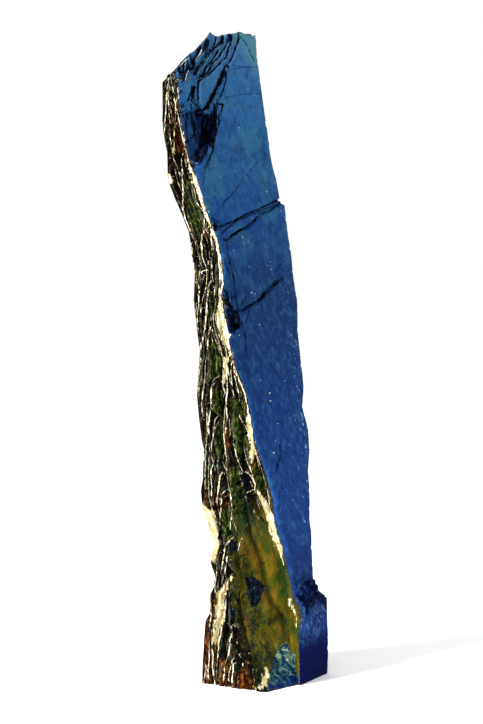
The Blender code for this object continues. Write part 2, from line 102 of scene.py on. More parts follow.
SHOULDER_X = [(0.0, 0.000), (0.05, -0.003), (0.10, -0.006), (0.15, -0.010), (0.20, -0.004),
              (0.25, 0.010), (0.30, 0.033), (0.40, 0.026), (0.50, 0.010), (0.60, -0.004),
              (0.78, -0.010)]
SHOULDER_Y = [(0.0, 0.004), (0.05, 0.028), (0.10, 0.060), (0.15, 0.095), (0.20, 0.125),
              (0.25, 0.145), (0.30, 0.160), (0.40, 0.168), (0.50, 0.140), (0.60, 0.122),
              (0.78, 0.120)]
SHOULDER_PART = 0.50
FLAKE_Y = [(0.0, -0.040), (0.10, -0.026), (0.20, -0.006), (0.29, 0.012), (0.36, 0.030),
           (0.45, 0.042), (0.55, 0.051), (0.66, 0.054), (0.80, 0.060), (0.95, 0.069)]
FOOT_LEDGE = [(0.128, 0.262), (0.160, 0.276), (0.200, 0.293), (0.225, 0.302), (0.250, 0.285),
              (0.277, 0.264), (0.300, 0.255)]
TOP_LINE = [(-0.30, 1.838), (-0.277, 1.844), (-0.247, 1.867), (-0.217, 1.881), (-0.145, 1.926),
            (-0.076, 1.967), (-0.041, 1.996), (-0.006, 1.990), (0.028, 1.994), (0.087, 1.999),
            (0.127, 2.0), (0.30, 2.0)]
FRONT_LOSS = [(0.0, 0.0), (1.086, 0.0), (1.098, 0.020), (1.206, 0.020), (1.218, 0.0), (1.586, 0.0),
              (1.600, 0.028), (1.797, 0.028), (1.814, 0.021), (1.848, 0.021), (1.894, 0.030),
              (1.944, 0.038), (2.0, 0.038)]
REAR_LOSS = [(0.0, 0.0), (0.695, 0.0), (0.706, 0.008), (1.318, 0.008), (1.330, 0.0), (2.0, 0.0)]
SKEW = 1.43
TOP_SKEW_Y = 0.18
TOP_BLEND_Z = 1.62
print(len(RIGHT_EDGE) + len(FACE_EDGE) + len(REAR_EDGE), "points on the three upright lines")

# %% Read a line at any height
RING_COUNT = 640
heights = np.linspace(0.0, HEIGHT, RING_COUNT + 1)


def along(keys, at):
    """Straight-line value of a keyed line, for a number or an array."""
    places, values = zip(*keys)
    return np.interp(at, places, values)


def smooth(low, high, value):
    """0 below low, 1 above high, and a smooth rise between; low and high may be swapped."""
    part = np.clip((value - low) / (high - low), 0.0, 1.0)
    return part * part * (3.0 - 2.0 * part)


def face_depth(z):
    """The broad face leans back above its foot."""
    return FACE_LEAN * np.maximum(0.0, z - FACE_FOOT_Z)


thickness = BACK_Y - face_depth(heights)
print("full thickness, base to top:", round(thickness[0], 3), "to", round(thickness[-1], 3))

# %% [markdown]
# ## Irregularity
# Nothing on a riven stone repeats. Value noise gives the chance element: random numbers on a lattice,
# blended smoothly between the lattice points. Stretching the lattice along the height makes long
# streaks, as cleavage does, and adding octaves of half the size makes the edges crumble. The seeds
# are fixed, so the stone is the same at each run.

# %% Noise
LATTICE = 257


def grain(u, v, seed, octaves=1):
    """Smooth random field, about -1 to 1, with lattice size 1 in u and v."""
    total = 0.0
    for octave in range(octaves):
        table = np.random.RandomState(seed + 97 * octave).uniform(-1.0, 1.0, (LATTICE, LATTICE))
        across, up = u * 2.0 ** octave + 31.7 * octave, v * 2.0 ** octave + 11.3 * octave
        col, row = np.floor(across).astype(int), np.floor(up).astype(int)
        s, t = across - col, up - row
        s, t = s * s * (3.0 - 2.0 * s), t * t * (3.0 - 2.0 * t)
        col, col_after = col % LATTICE, (col + 1) % LATTICE
        row, row_after = row % LATTICE, (row + 1) % LATTICE
        low = table[col, row] * (1.0 - s) + table[col_after, row] * s
        high = table[col, row_after] * (1.0 - s) + table[col_after, row_after] * s
        total = total + (low * (1.0 - t) + high * t) * 0.5 ** octave
    return total


print("noise sample:", np.round(grain(np.array([0.3, 7.9]), np.array([1.1, 4.2]), 1, 3), 3))

# %% [markdown]
# ## Rims of the layered edge
# Where a lamina has broken off, its neighbour behind it stands out as a rim, with a sloping tread in
# front. Each rim here is a line up the stone: its place across the edge, and how much of the way to
# the next rim is flat. Its tips are the heights at which one lamina ends in a rounded tongue and the
# next one up starts further in. The places were chosen rim by rim, because a random stack looks like
# corduroy and not like this stone.

# %% Rim lines
RIMS = [
    {"place": [(0.0, 0.04), (1.85, 0.04)], "flat": [(0.0, 0.30), (0.40, 0.35), (0.46, 0.75),
               (0.57, 0.70), (0.62, 0.35), (2.0, 0.30)]},
    {"place": [(0.01, 0.12), (0.13, 0.08), (0.26, 0.10), (0.38, 0.08), (0.51, 0.14), (0.63, 0.15),
               (0.69, 0.12), (0.78, 0.08), (0.87, 0.10), (0.99, 0.08), (1.05, 0.13), (1.17, 0.15),
               (1.23, 0.14), (1.29, 0.23), (1.36, 0.18), (1.39, 0.13), (1.46, 0.20), (1.50, 0.29),
               (1.62, 0.28), (1.68, 0.34), (1.73, 0.22), (1.79, 0.29), (1.85, 0.41)],
     "flat": [(0.0, 0.35), (1.3, 0.30), (2.0, 0.30)]},
    {"place": [(0.01, 0.18), (0.13, 0.15), (0.26, 0.17), (0.38, 0.14), (0.51, 0.20), (0.63, 0.20),
               (0.69, 0.17), (0.78, 0.14), (0.87, 0.17), (0.93, 0.17), (0.99, 0.24), (1.05, 0.29),
               (1.11, 0.24), (1.17, 0.35), (1.29, 0.39), (1.36, 0.33), (1.39, 0.30), (1.50, 0.38),
               (1.73, 0.45), (1.85, 0.52)],
     "flat": [(0.0, 0.45), (0.3, 0.40), (2.0, 0.22)]},
    {"place": [(0.01, 0.31), (0.07, 0.29), (0.15, 0.23), (0.18, 0.27), (0.21, 0.22), (0.34, 0.20),
               (0.36, 0.26), (0.39, 0.19), (0.46, 0.24), (0.48, 0.34), (0.50, 0.28), (0.60, 0.25),
               (0.75, 0.22), (0.81, 0.30), (0.845, 0.38), (0.866, 0.26), (0.93, 0.31),
               (0.951, 0.36), (0.966, 0.50), (0.98, 0.45), (1.20, 0.44), (1.50, 0.50),
               (1.62, 0.48), (1.73, 0.50), (1.85, 0.62)],
     "flat": [(0.0, 0.18), (0.15, 0.12), (0.25, 0.30), (0.36, 0.25), (0.45, 0.14), (2.0, 0.25)]},
    {"place": [(0.01, 0.55), (0.17, 0.48), (0.20, 0.42), (0.32, 0.38), (0.46, 0.42), (0.54, 0.37),
               (0.61, 0.43), (0.69, 0.38), (0.79, 0.45), (0.85, 0.57), (0.95, 0.60), (0.99, 0.70),
               (1.02, 0.70), (1.05, 0.60), (1.11, 0.52), (1.17, 0.55), (1.23, 0.51), (1.29, 0.55),
               (1.35, 0.60), (1.41, 0.54), (1.50, 0.55), (1.62, 0.55), (1.68, 0.58),
               (1.73, 0.55), (1.82, 0.71)],
     "flat": [(0.0, 0.10), (0.6, 0.15), (1.0, 0.35), (1.1, 0.20), (2.0, 0.25)]},
    {"place": [(0.01, 0.66), (0.12, 0.60), (0.41, 0.66), (0.57, 0.66), (0.68, 0.61), (0.81, 0.60),
               (0.90, 0.70), (0.99, 0.79), (1.05, 0.76), (1.11, 0.68), (1.23, 0.71), (1.35, 0.75),
               (1.41, 0.70), (1.56, 0.70), (1.68, 0.76), (1.73, 0.74), (1.82, 0.80)],
     "flat": [(0.0, 0.10), (0.7, 0.18), (1.0, 0.25), (1.2, 0.60), (1.6, 0.60), (1.7, 0.30),
              (2.0, 0.30)]},
    {"place": [(0.01, 0.95), (0.44, 0.94), (0.51, 0.90), (0.56, 0.84), (0.63, 0.76), (0.71, 0.76),
               (0.75, 0.84), (0.81, 0.90), (0.86, 0.90), (0.93, 0.83), (0.99, 0.89), (1.11, 0.86),
               (1.59, 0.87), (1.68, 0.90), (1.82, 0.93)],
     "flat": [(0.0, 0.30), (0.42, 0.50), (0.50, 0.60), (0.62, 0.40), (0.70, 0.35), (0.76, 0.70),
              (0.86, 0.60), (0.95, 0.40), (1.07, 0.85), (1.22, 0.85), (2.0, 0.70)]},
]
TIPS = [[0.20, 0.62, 0.98, 1.33, 1.60, 1.86], [0.24, 0.47, 0.83, 1.29, 1.49, 1.70],
        [0.29, 0.51, 0.92, 1.16, 1.38, 1.76], [0.16, 0.355, 0.475, 0.842, 0.962, 1.22, 1.45],
        [0.19, 0.40, 0.62, 0.93, 1.17, 1.37, 1.58, 1.80], [0.11, 0.46, 0.77, 1.04, 1.32, 1.56, 1.74],
        [0.30, 0.60, 0.80, 0.96, 1.22, 1.43, 1.66]]
VALLEY = [(0.03, 0.93), (0.185, 0.82), (0.24, 0.70), (0.305, 0.62), (0.355, 0.62),
          (0.415, 0.58), (0.47, 0.49), (0.56, 0.42)]
LUMPS = [(0.10, 0.300, 0.13, 0.115, 0.016), (0.37, 0.345, 0.12, 0.050, -0.017),
         (0.33, 0.430, 0.13, 0.040, 0.007), (0.30, 0.180, 0.16, 0.070, 0.007),
         (0.62, 0.080, 0.22, 0.090, -0.010), (0.80, 0.300, 0.15, 0.130, 0.006),
         (0.14, 0.080, 0.12, 0.060, -0.009), (0.50, 0.240, 0.10, 0.045, -0.006)]
RIM_DROP = 0.030
TIP_TAPER = 0.016
print(len(RIMS), "rims with", sum(len(tips) for tips in TIPS), "tongue tips")

# %% [markdown]
# ## Where the laminae stand
# The rims are placed on a plain run from the rear corner to the broad face. Low down, the run bends
# round a shoulder, because the lowest flake faces forwards. A rim's place is given as it would be
# seen by someone standing off the corner, so it is turned into a share of that run here.

# %% Run of the layered edge
def envelope(part, z):
    """Plan place (x, y) of a share of the layered edge, 0 at the rear corner, 1 at the face."""
    rear_x, rear_y = along(REAR_EDGE, z), BACK_Y - 0.004 - along(REAR_LOSS, z)
    front_x = along(FACE_EDGE, z) - 0.003
    front_y = np.where(z < 0.95, along(FLAKE_Y, z), face_depth(z) + 0.012)
    loss = along(FRONT_LOSS, z) * part ** 1.5
    bend = 1.0 - smooth(0.60, 0.82, z)
    knee_x, knee_y = 0.5 * (rear_x + front_x), 0.5 * (rear_y + front_y)
    knee_x = knee_x + (along(SHOULDER_X, z) - knee_x) * bend
    knee_y = knee_y + (along(SHOULDER_Y, z) - knee_y) * bend
    first = np.clip(part / SHOULDER_PART, 0.0, 1.0)
    second = np.clip((part - SHOULDER_PART) / (1.0 - SHOULDER_PART), 0.0, 1.0)
    x = rear_x + (knee_x - rear_x) * first + (front_x - knee_x) * second
    y = rear_y + (knee_y - rear_y) * first + (front_y - knee_y) * second
    return x + SKEW * loss, y + loss


def edge_share(seen, z):
    """Share of the run for a place given as a share of the edge's width on the diagonal."""
    low, middle, high = [x - SKEW * y for x, y in
                         (envelope(0.0, z), envelope(SHOULDER_PART, z), envelope(1.0, z))]
    wanted = low + seen * (high - low)
    rear = SHOULDER_PART * (wanted - low) / (middle - low)
    front = SHOULDER_PART + (1.0 - SHOULDER_PART) * (wanted - middle) / (high - middle)
    return np.where(wanted < middle, rear, front)


print("seen halfway at 1 m:", round(float(edge_share(0.5, np.array(1.0))), 3), "of the run")

# %% Tongues, and the place of every rim
def tip_state(tips, z):
    """1 just under a lamina's tip, less further down, 0 just above the tip below."""
    state, under, floor = np.full(z.shape, 0.4), np.full(z.shape, 1.0), -0.3
    for top in tips:
        inside = (z <= top) & (z > floor)
        gap = np.maximum(top - z, 0.0)
        value = (1.0 - np.exp(-gap / TIP_TAPER)) * (1.0 - 0.6 * np.clip(gap / (top - floor), 0, 1))
        state, under, floor = np.where(inside, value, state), np.where(inside, gap, under), top
    return state, under


LAST_PLACE = 0.985
LEAST_GAP = 0.018
dice = random.Random(4881)
sway = [[dice.uniform(0.0, 6.3) for part in range(3)] for rim in RIMS]
places = []
for index, rim in enumerate(RIMS):
    state, under = tip_state(TIPS[index], heights)
    place = edge_share(along(rim["place"], heights), heights)
    wander = 0.006 * grain(heights / 0.045, index * 5.3 + 0 * heights, 11, 3)
    places.append(place + wander + 0.045 * np.exp(-under / 0.009))
places.append(np.full(heights.shape, LAST_PLACE))
for index in range(len(RIMS)):
    places[index + 1] = np.maximum(places[index + 1], places[index] + LEAST_GAP)
    places[index] = np.minimum(places[index], LAST_PLACE - LEAST_GAP * (len(RIMS) - index))
print("edge run at mid height:", [round(float(place[320]), 3) for place in places])

# %% [markdown]
# ## The profile between two rims
# Seen from above, each rim has a narrow flat end, then its tread falls away inwards, and then a deep
# joint opens just before the next rim. A tread is not smooth: it is many thinner laminae broken back
# one after another. Rounding the depth down to steps makes those terraces, and adding noise first
# makes the steps wander, join and end in tongues, as contour lines do on a map.

# %% Columns of the layered edge
SAMPLES = np.concatenate([np.linspace(0, 1, 7)[:-1], np.linspace(1, 2, 6)[:-1],
                          np.linspace(2, 3, 8)[:-1], np.linspace(3, 4, 8)[:-1],
                          np.linspace(4, 5, 4)[:-1], np.linspace(5, 6, 4)[:-1]])
STEP = 0.0065
z = heights[:, None]
thickness = BACK_Y - face_depth(heights) - along(FRONT_LOSS, heights)
spread = np.minimum(1.0, thickness / 0.16)
calm_drop = np.minimum(1.0, thickness / 0.14)


def rim_stand(index):
    """How far a rim stands out, and how deep its tread falls, at every height."""
    one, two, three = sway[index]
    state, under = tip_state(TIPS[index], heights)
    wave = 0.0025 * np.sin(17.0 * heights + one) + 0.0015 * np.sin(41.0 * heights + two)
    corner = 0.3 if index == 0 else 1.0
    ragged = 0.0016 * grain(heights / 0.020, 3.1 * index + 0 * heights, 41, 3)
    chip = 0.004 * smooth(0.45, 0.75, grain(heights / 0.035, 7.7 * index + 0 * heights, 57, 2))
    out = spread * corner * (0.016 * (state - 0.80) + wave) + ragged - chip
    vary = 0.80 + 0.20 * np.sin(11.0 * heights + three) + 0.25 * (state - 0.5)
    return out, vary * calm_drop


stands = [rim_stand(index) for index in range(len(RIMS))]
print("rims stand out by up to", round(1000 * max(float(out.max()) for out, vary in stands), 1), "mm")

# %% Profiles between the rims
parts, outs, rim_near, layer, wide_mm = [], [], [], [], []
for index, rim in enumerate(RIMS):
    start = places[index][:, None]
    wide = (places[index + 1] - places[index])[:, None]
    gap = wide * thickness[:, None]
    out, vary = stands[index][0][:, None], stands[index][1][:, None]
    middle = start + 0.5 * wide
    flake = smooth(0.46, 0.58, middle) * (1.0 - smooth(0.44, 0.62, z))
    drop = vary * np.minimum(RIM_DROP, 0.006 + 0.75 * gap) * (1.0 - 0.80 * flake)
    if index in (3, 4, 5):
        drop = drop * (0.45 + 0.55 * smooth(0.05, 0.24, z))
    if index == len(RIMS) - 1:
        drop = drop * 0.40
    flat = along(rim["flat"], z)
    ahead = stands[index + 1][0][:, None] if index < len(RIMS) - 1 else out
    ahead = ahead * (1.0 - 0.85 * flake) - 0.0035 * flake
    across = [0.0 * flat, flat, flat + 0.28 * (0.95 - flat), flat + 0.65 * (0.95 - flat),
              0.95 + 0.0 * flat, 0.985 + 0.0 * flat, 1.0 + 0.0 * flat]
    for sample in SAMPLES:
        low = min(int(sample), 5)
        mix = sample - low
        u = across[low] * (1.0 - mix) + across[low + 1] * mix
        rounding = 0.060 * np.minimum(u, 0.6) * (1.0 - 0.5 * u)
        out = np.interp(z - rounding, heights, stands[index][0])
        out = out * (1.0 - 0.85 * flake) - 0.0035 * flake
        deep = [out, 0.8 * out - 0.0008, out - 0.60 * drop, out - 0.88 * drop, out - 1.10 * drop,
                0.5 * (ahead + out) - 0.80 * drop, ahead]
        value = deep[low] * (1.0 - mix) + deep[low + 1] * mix
        rough = 0.0050 * grain(u * wide / 0.10 + 9.1 * index, z / 0.16, 71, 2)
        rough = rough + 0.0022 * grain(u * wide / 0.05 + 4.1 * index, z / 0.030, 83, 3)
        steps = (out - value + rough) / STEP
        whole = np.floor(steps)
        terraced = (whole + smooth(0.50, 1.0, steps - whole)) * STEP - rough * 0.35
        strength = smooth(0.9, 1.6, sample) * (1.0 - smooth(4.6, 5.4, sample)) * (1.0 - 0.6 * flake)
        value = value + strength * (out - terraced - value) + 0.4 * (1 - strength) * rough
        parts.append(start + u * wide)
        outs.append(value + 0.0 * u)
        rim_near.append(smooth(0.0, 1.0, 1.0 - abs(sample - 0.4) / 1.3) + 0.0 * u)
        layer.append(index + u)
        wide_mm.append(1000.0 * gap + 0.0 * u)
parts, outs, rim_near = np.hstack(parts), np.hstack(outs), np.hstack(rim_near)
print("layered edge:", parts.shape[1], "columns by", parts.shape[0], "rings")

# %% The lowest flake and the finished run
def flake_lumps(part, z):
    """Stand-out of the lowest flake's lumps, hollows and valley."""
    across = (part - SHOULDER_PART) / (1.0 - SHOULDER_PART)
    total = 0.0 * part
    for place, height, half_wide, half_high, out in LUMPS:
        far = ((across - place) / half_wide) ** 2 + ((z - height) / half_high) ** 2
        total = total + out * np.maximum(0.0, 1.0 - far) ** 0.7
    dip = np.exp(-((across - along(VALLEY, z)) / 0.07) ** 2)
    total = total - 0.008 * dip * (1.0 - smooth(0.50, 0.60, z))
    return total * smooth(1.0, 0.90, across) * (across > 0.0) * (z <= 0.62)


first_out = stands[0][0][:, None]
lead_in = [(0.0, 0.001 + 0.0 * first_out), (0.55, 0.5 * first_out - 0.002), (0.96, first_out - 0.004)]
lead_parts = np.hstack([share * places[0][:, None] for share, out in lead_in])
end_parts = np.repeat([[0.9875, 0.991, 0.995, 1.0]], len(heights), axis=0)
end_outs = outs[:, -1:] * np.array([[0.75, 0.45, 0.2, 0.0]])
parts = np.hstack([lead_parts, parts, end_parts])
outs = np.hstack([np.hstack([out for share, out in lead_in]), outs, end_outs])
rim_near = np.hstack([0.0 * lead_parts, rim_near, 0.0 * end_parts])
lead_layer = np.array([[share - 1.0 for share, out in lead_in]]) + 0.0 * lead_parts
layer = np.hstack([lead_layer] + layer + [len(RIMS) + 8.0 * (end_parts - LAST_PLACE)])
wide_mm = np.hstack([20.0 + 0.0 * lead_parts] + wide_mm + [20.0 + 0.0 * end_parts])
edge_x, edge_y = envelope(parts, z)
swell = flake_lumps(parts, z)
turn = smooth(0.52, 0.60, parts) * (1.0 - smooth(0.44, 0.62, z))
edge_x = edge_x - (1.0 - 0.38 * turn) * outs - 0.62 * swell
edge_y = edge_y - 0.78 * turn * outs - 0.60 * swell
print("edge reaches x from", round(float(edge_x.min()), 3), "to", round(float(edge_x.max()), 3))

# %% [markdown]
# ## Falls, ledges and joints of the broad face
# Frost has lifted thin layers off the top corner of the face, one after another, so there the face
# drops back in steps of a few millimetres. Two broken joints cross it lower down, and a few hairline
# cracks leave the boundary. Each is drawn as a line of (x, height) points on the face, because their
# courses are what makes this stone recognisable.

# %% Fallen layers, hollow and pocket
def metres(line):
    """A line drawn in millimetres, in metres."""
    return [(across / 1000, up / 1000) for across, up in line]


# step back, half width of its dark line, course; all in millimetres
FALLS_MM = [
    (4.5, 2.4, [(70, 1983), (63, 1968), (51, 1949), (40, 1931), (22, 1912), (5, 1897), (-10, 1881),
                (-25, 1863), (-42, 1842), (-63, 1820), (-83, 1802), (-100, 1784), (-116, 1769),
                (-143, 1754)]),
    (4, 2.2, [(38, 1972), (31, 1958), (20, 1945), (13, 1932), (8, 1921), (-8, 1912), (-26, 1903),
              (-45, 1891), (-66, 1880), (-83, 1869), (-110, 1859), (-146, 1842), (-149, 1832), (-150, 1820),
              (-152, 1804), (-153, 1780)]),
    (4, 2.1, [(37, 1978), (16, 1957), (0, 1944), (-16, 1931), (-26, 1919), (-47, 1907), (-62, 1896),
              (-74, 1888), (-81, 1878), (-90, 1871), (-111, 1861)]),
    (5, 2.1, [(-23, 1939), (-36, 1925), (-52, 1911), (-65, 1899), (-88, 1889), (-98, 1878), (-107, 1867),
              (-122, 1858), (-136, 1853)]),
    (7, 4, [(13, 1989), (5, 1974), (-2, 1962), (-25, 1952), (-47, 1938), (-65, 1927), (-77, 1918),
            (-87, 1907), (-105, 1896), (-118, 1886), (-132, 1874), (-142, 1861)]),
    (3, 1.7, [(-21, 1987), (-24, 1972), (-32, 1957), (-43, 1942)]),
    (7, 2.4, [(-56, 1975), (-63, 1962), (-71, 1949), (-81, 1938), (-109, 1921), (-127, 1906), (-133, 1889),
              (-146, 1877), (-170, 1869), (-228, 1838)]),
]
FALLS = [(step / 1000, half / 1000, metres(line)) for step, half, line in FALLS_MM]
HOLLOW = [(-0.320, 1.748), (-0.160, 1.764), (-0.097, 1.745), (-0.099, 1.715), (-0.112, 1.668),
          (-0.146, 1.649), (-0.158, 1.621), (-0.179, 1.605), (-0.198, 1.590), (-0.320, 1.596)]
POCKET = [(-0.200, 1.190), (-0.094, 1.213), (-0.079, 1.189), (-0.063, 1.169), (-0.044, 1.149),
          (-0.032, 1.125), (-0.030, 1.117), (-0.065, 1.096), (-0.200, 1.092)]
UPPER_LEDGE = [(-0.140, 1.410), (-0.102, 1.420), (-0.010, 1.438), (0.032, 1.452), (0.113, 1.469),
               (0.192, 1.489), (0.260, 1.497)]
print(len(FALLS), "fallen layers")

# %% Open joints
# half width of the opening, depth, line; all in millimetres
JOINTS_MM = [
    (1.8, 4, [(-97, 1401), (-63, 1416), (-9, 1436), (50, 1449), (120, 1465), (198, 1479), (230, 1489)]),
    (4.2, 11, [(-85, 1385), (-68, 1380), (-37, 1395), (-7, 1405), (38, 1416), (70, 1430), (106, 1450),
               (127, 1465)]),
    (2.2, 6, [(110, 1450), (165, 1464), (226, 1482), (256, 1486)]),
    (2.2, 5, [(-68, 1380), (-74, 1355)]),
    (1.3, 3, [(-72, 1347), (-57, 1321), (-30, 1278), (-14, 1257)]),
    (2, 4, [(-89, 1319), (-69, 1284), (-68, 1260)]),
    (4, 9, [(-131, 1448), (-97, 1434), (-106, 1418), (-127, 1419)]),
    (1.2, 3, [(14, 1548), (-9, 1527), (-79, 1485), (-80, 1475)]),
    (4.6, 11, [(210, 1257), (174, 1238), (115, 1212), (72, 1192), (14, 1176), (-5, 1171)]),
    (2.2, 5, [(-5, 1171), (-41, 1170), (-60, 1169)]),
    (2.4, 6, [(187, 1267), (173, 1249), (129, 1230), (88, 1208)]),
    (1, 2, [(203, 1299), (161, 1271)]),
    (1.8, 4, [(4, 1209), (-13, 1193), (-41, 1172)]),
    (1.6, 4, [(17, 1166), (-6, 1134)]),
    (3.4, 6, [(-27, 1135), (-12, 1109), (-8, 1081), (-14, 1036)]),
    (1.6, 4, [(-67, 1228), (-59, 1180)]),
    (2.7, 5, [(-66, 1733), (-70, 1723), (-80, 1709), (-88, 1696), (-99, 1677), (-107, 1649), (-117, 1635),
              (-131, 1615), (-144, 1599), (-154, 1583), (-159, 1564), (-166, 1548)]),
    (2, 4, [(-70, 1787), (-60, 1782), (-43, 1781)]),
    (2.4, 5, [(-44, 1780), (-51, 1762), (-67, 1747), (-72, 1737)]),
    (4.5, 6, [(-66, 1781), (-79, 1765), (-86, 1742), (-92, 1709), (-99, 1677), (-108, 1655)]),
    (2.2, 4, [(-2, 1893), (-7, 1875), (-12, 1860), (-20, 1842), (-35, 1821), (-52, 1803), (-67, 1788)]),
    (6.2, 5, [(2, 1893), (-10, 1881), (-25, 1863), (-42, 1842), (-63, 1820), (-83, 1802), (-100, 1784),
              (-116, 1769), (-143, 1752)]),
    (3.6, 6, [(-173, 1829), (-181, 1811), (-193, 1798), (-201, 1784)]),
    (4.6, 6, [(-165, 1829), (-169, 1817), (-174, 1803), (-182, 1787), (-171, 1775), (-160, 1764),
              (-143, 1751)]),
    (3.4, 3, [(-163, 1779), (-154, 1765), (-144, 1755), (-131, 1748)]),
    (3.4, 3, [(-176, 1764), (-170, 1747), (-164, 1728), (-157, 1715)]),
    (3, 3, [(-150, 1711), (-163, 1689), (-178, 1676), (-190, 1668)]),
    (2.2, 3, [(-191, 1776), (-191, 1753), (-190, 1730), (-194, 1707)]),
    (2.6, 3, [(-83, 1781), (-90, 1762), (-91, 1741), (-100, 1720)]),
    (2.6, 3, [(-109, 1746), (-115, 1726), (-121, 1703)]),
    (3, 6, [(137, 751), (132, 714), (100, 673)]),
    (6.5, 4, [(-89, 1238), (-81, 1215), (-70, 1190), (-60, 1165)]),
    (1.2, 1, [(68, 1992), (85, 1981), (102, 1970), (119, 1950), (127, 1935), (141, 1918)]),
    (3.6, 5, [(-73, 1341), (-58, 1300), (-47, 1265), (-50, 1218), (-41, 1173)]),
]
JOINTS = [(0.0026, 0.006, UPPER_LEDGE[1:])]
JOINTS += [(half / 1000, deep / 1000, metres(line)) for half, deep, line in JOINTS_MM]
print(len(JOINTS), "joints on the face")

# %% Near and inside a drawn line
def near_line(x, z, line):
    """Distance from every point to a drawn line."""
    best = np.full(x.shape, 9.0)
    for (ax, az), (bx, bz) in zip(line, line[1:]):
        run_x, run_z = bx - ax, bz - az
        share = np.clip(((x - ax) * run_x + (z - az) * run_z) / (run_x ** 2 + run_z ** 2), 0, 1)
        best = np.minimum(best, np.hypot(x - ax - share * run_x, z - az - share * run_z))
    return best


def within(x, z, outline, soft):
    """1 inside a drawn outline, 0 outside, blended over a soft band inside its edge."""
    odd = np.zeros(x.shape, bool)
    closed = outline + outline[:1]
    for (ax, az), (bx, bz) in zip(closed, closed[1:]):
        crosses = ((az > z) != (bz > z))
        rise = bz - az if bz != az else 1e-9
        odd ^= crosses & (x < ax + (z - az) / rise * (bx - ax))
    return odd * smooth(0.0, soft, near_line(x, z, closed))


print("half a square inside:", within(np.array([0.2, 0.8]), np.array([0.5, 0.5]),
                                      [(0.5, 0.0), (1.0, 0.0), (1.0, 1.0), (0.5, 1.0)], 0.01))

# %% Relief of the broad face
def broad_face(x, z):
    """How far the face is cut back, and how deep its joints are, at places on it."""
    shake = 0.0022 * grain(x / 0.016, z / 0.016, 5, 2)
    side, up = x + shake, z + 0.0018 * grain(x / 0.014, z / 0.014, 6, 2)
    cut, opening = 0.0 * x, 0.0 * x
    for step, half, line in FALLS:
        ends = sorted((height, place) for place, height in line)
        alive = smooth(ends[0][0] - 0.014, ends[0][0] + 0.002, up)
        if ends[-1][0] < 1.96:
            alive = alive * (1.0 - smooth(ends[-1][0], ends[-1][0] + 0.012, up))
        cut = cut + step * alive * smooth(0.0012, -0.0012, side - along(ends, up))
        opening = np.maximum(opening, smooth(1.5 * half, 0.5 * half, near_line(side, up, line)))
    cut = np.maximum(cut, 0.026 * within(side, up, HOLLOW, 0.006))
    cut = np.maximum(cut, 0.018 * within(side, up, POCKET, 0.005))
    groove = 0.0 * x
    for half, deep, line in JOINTS:
        far = near_line(side, up, line)
        groove = np.maximum(groove, deep * smooth(1.6 * half, 0.2 * half, far))
        opening = np.maximum(opening, smooth(1.6 * half, 0.7 * half, far))
    return cut, groove + 0.004 * opening


cut, groove = broad_face(np.array([0.12, -0.15]), np.array([1.70, 1.70]))
print("cut back beside the hollow and in it:", np.round(cut, 3))

# %% [markdown]
# ## The other three sides
# The broad face leans back a little and steps forward at its foot, where a thick layer still stands.
# Below the upper ledge the whole face is a few millimetres prouder, as a layer survives there too.
# The right side is a plain broken edge, and the rear is a second cleavage face with its own falls.

# %% Columns of the broad face, the right side and the rear
face_left = along(FACE_EDGE, heights) + SKEW * along(FRONT_LOSS, heights)
face_left = face_left + 0.0018 * grain(heights / 0.018, 0.5 + 0 * heights, 21, 3)
chips = 0.003 * smooth(0.35, 0.8, grain(heights / 0.020, 2.5 + 0 * heights, 23, 3))
face_right = along(RIGHT_EDGE, heights) - 0.0012 - chips
face_right = face_right + 0.0012 * grain(heights / 0.012, 4.5 + 0 * heights, 22, 2)
share = np.linspace(0.0, 1.0, 150)[None, :]
front_x = face_left[:, None] + share * (face_right - face_left)[:, None]
ledge_top = along(FOOT_LEDGE, front_x) + 0.008 * grain(front_x / 0.018, z / 0.03, 31, 3)
bevel = 0.004 * (smooth(0.02, 0.0, share) + smooth(0.98, 1.0, share))

RIGHT_PARTS = [0.12, 0.26, 0.42, 0.58, 0.74, 0.89]
RIGHT_STEP = 0.0030
turned_over = HEIGHT - heights
insets = [0.002 + 0.014 * (1.0 - tip_state(TIPS[index], turned_over)[0]) * (0.6 + 0.4 * part)
          for index, part in enumerate(RIGHT_PARTS)]
right_share = np.linspace(0.0, 1.0, 38)[1:-1]
right_x = []
for part in right_share:
    inset_lines = [0.0 * heights] + insets + [0.010 + 0.0 * heights]
    knots = [0.0] + RIGHT_PARTS + [1.0]
    low = max(index for index in range(7) if knots[index] <= part)
    mix = (part - knots[low]) / (knots[low + 1] - knots[low])
    inset = inset_lines[low] * (1.0 - mix) + inset_lines[low + 1] * mix
    rough = 0.0030 * grain(part * 7.0 + 0 * heights, heights / 0.13, 91, 3)
    steps = (inset + rough) / RIGHT_STEP
    inset = (np.floor(steps) + smooth(0.5, 1.0, steps - np.floor(steps))) * RIGHT_STEP
    right_x.append(face_right - np.maximum(0.0015, inset))
right_x = np.stack(right_x, axis=1)

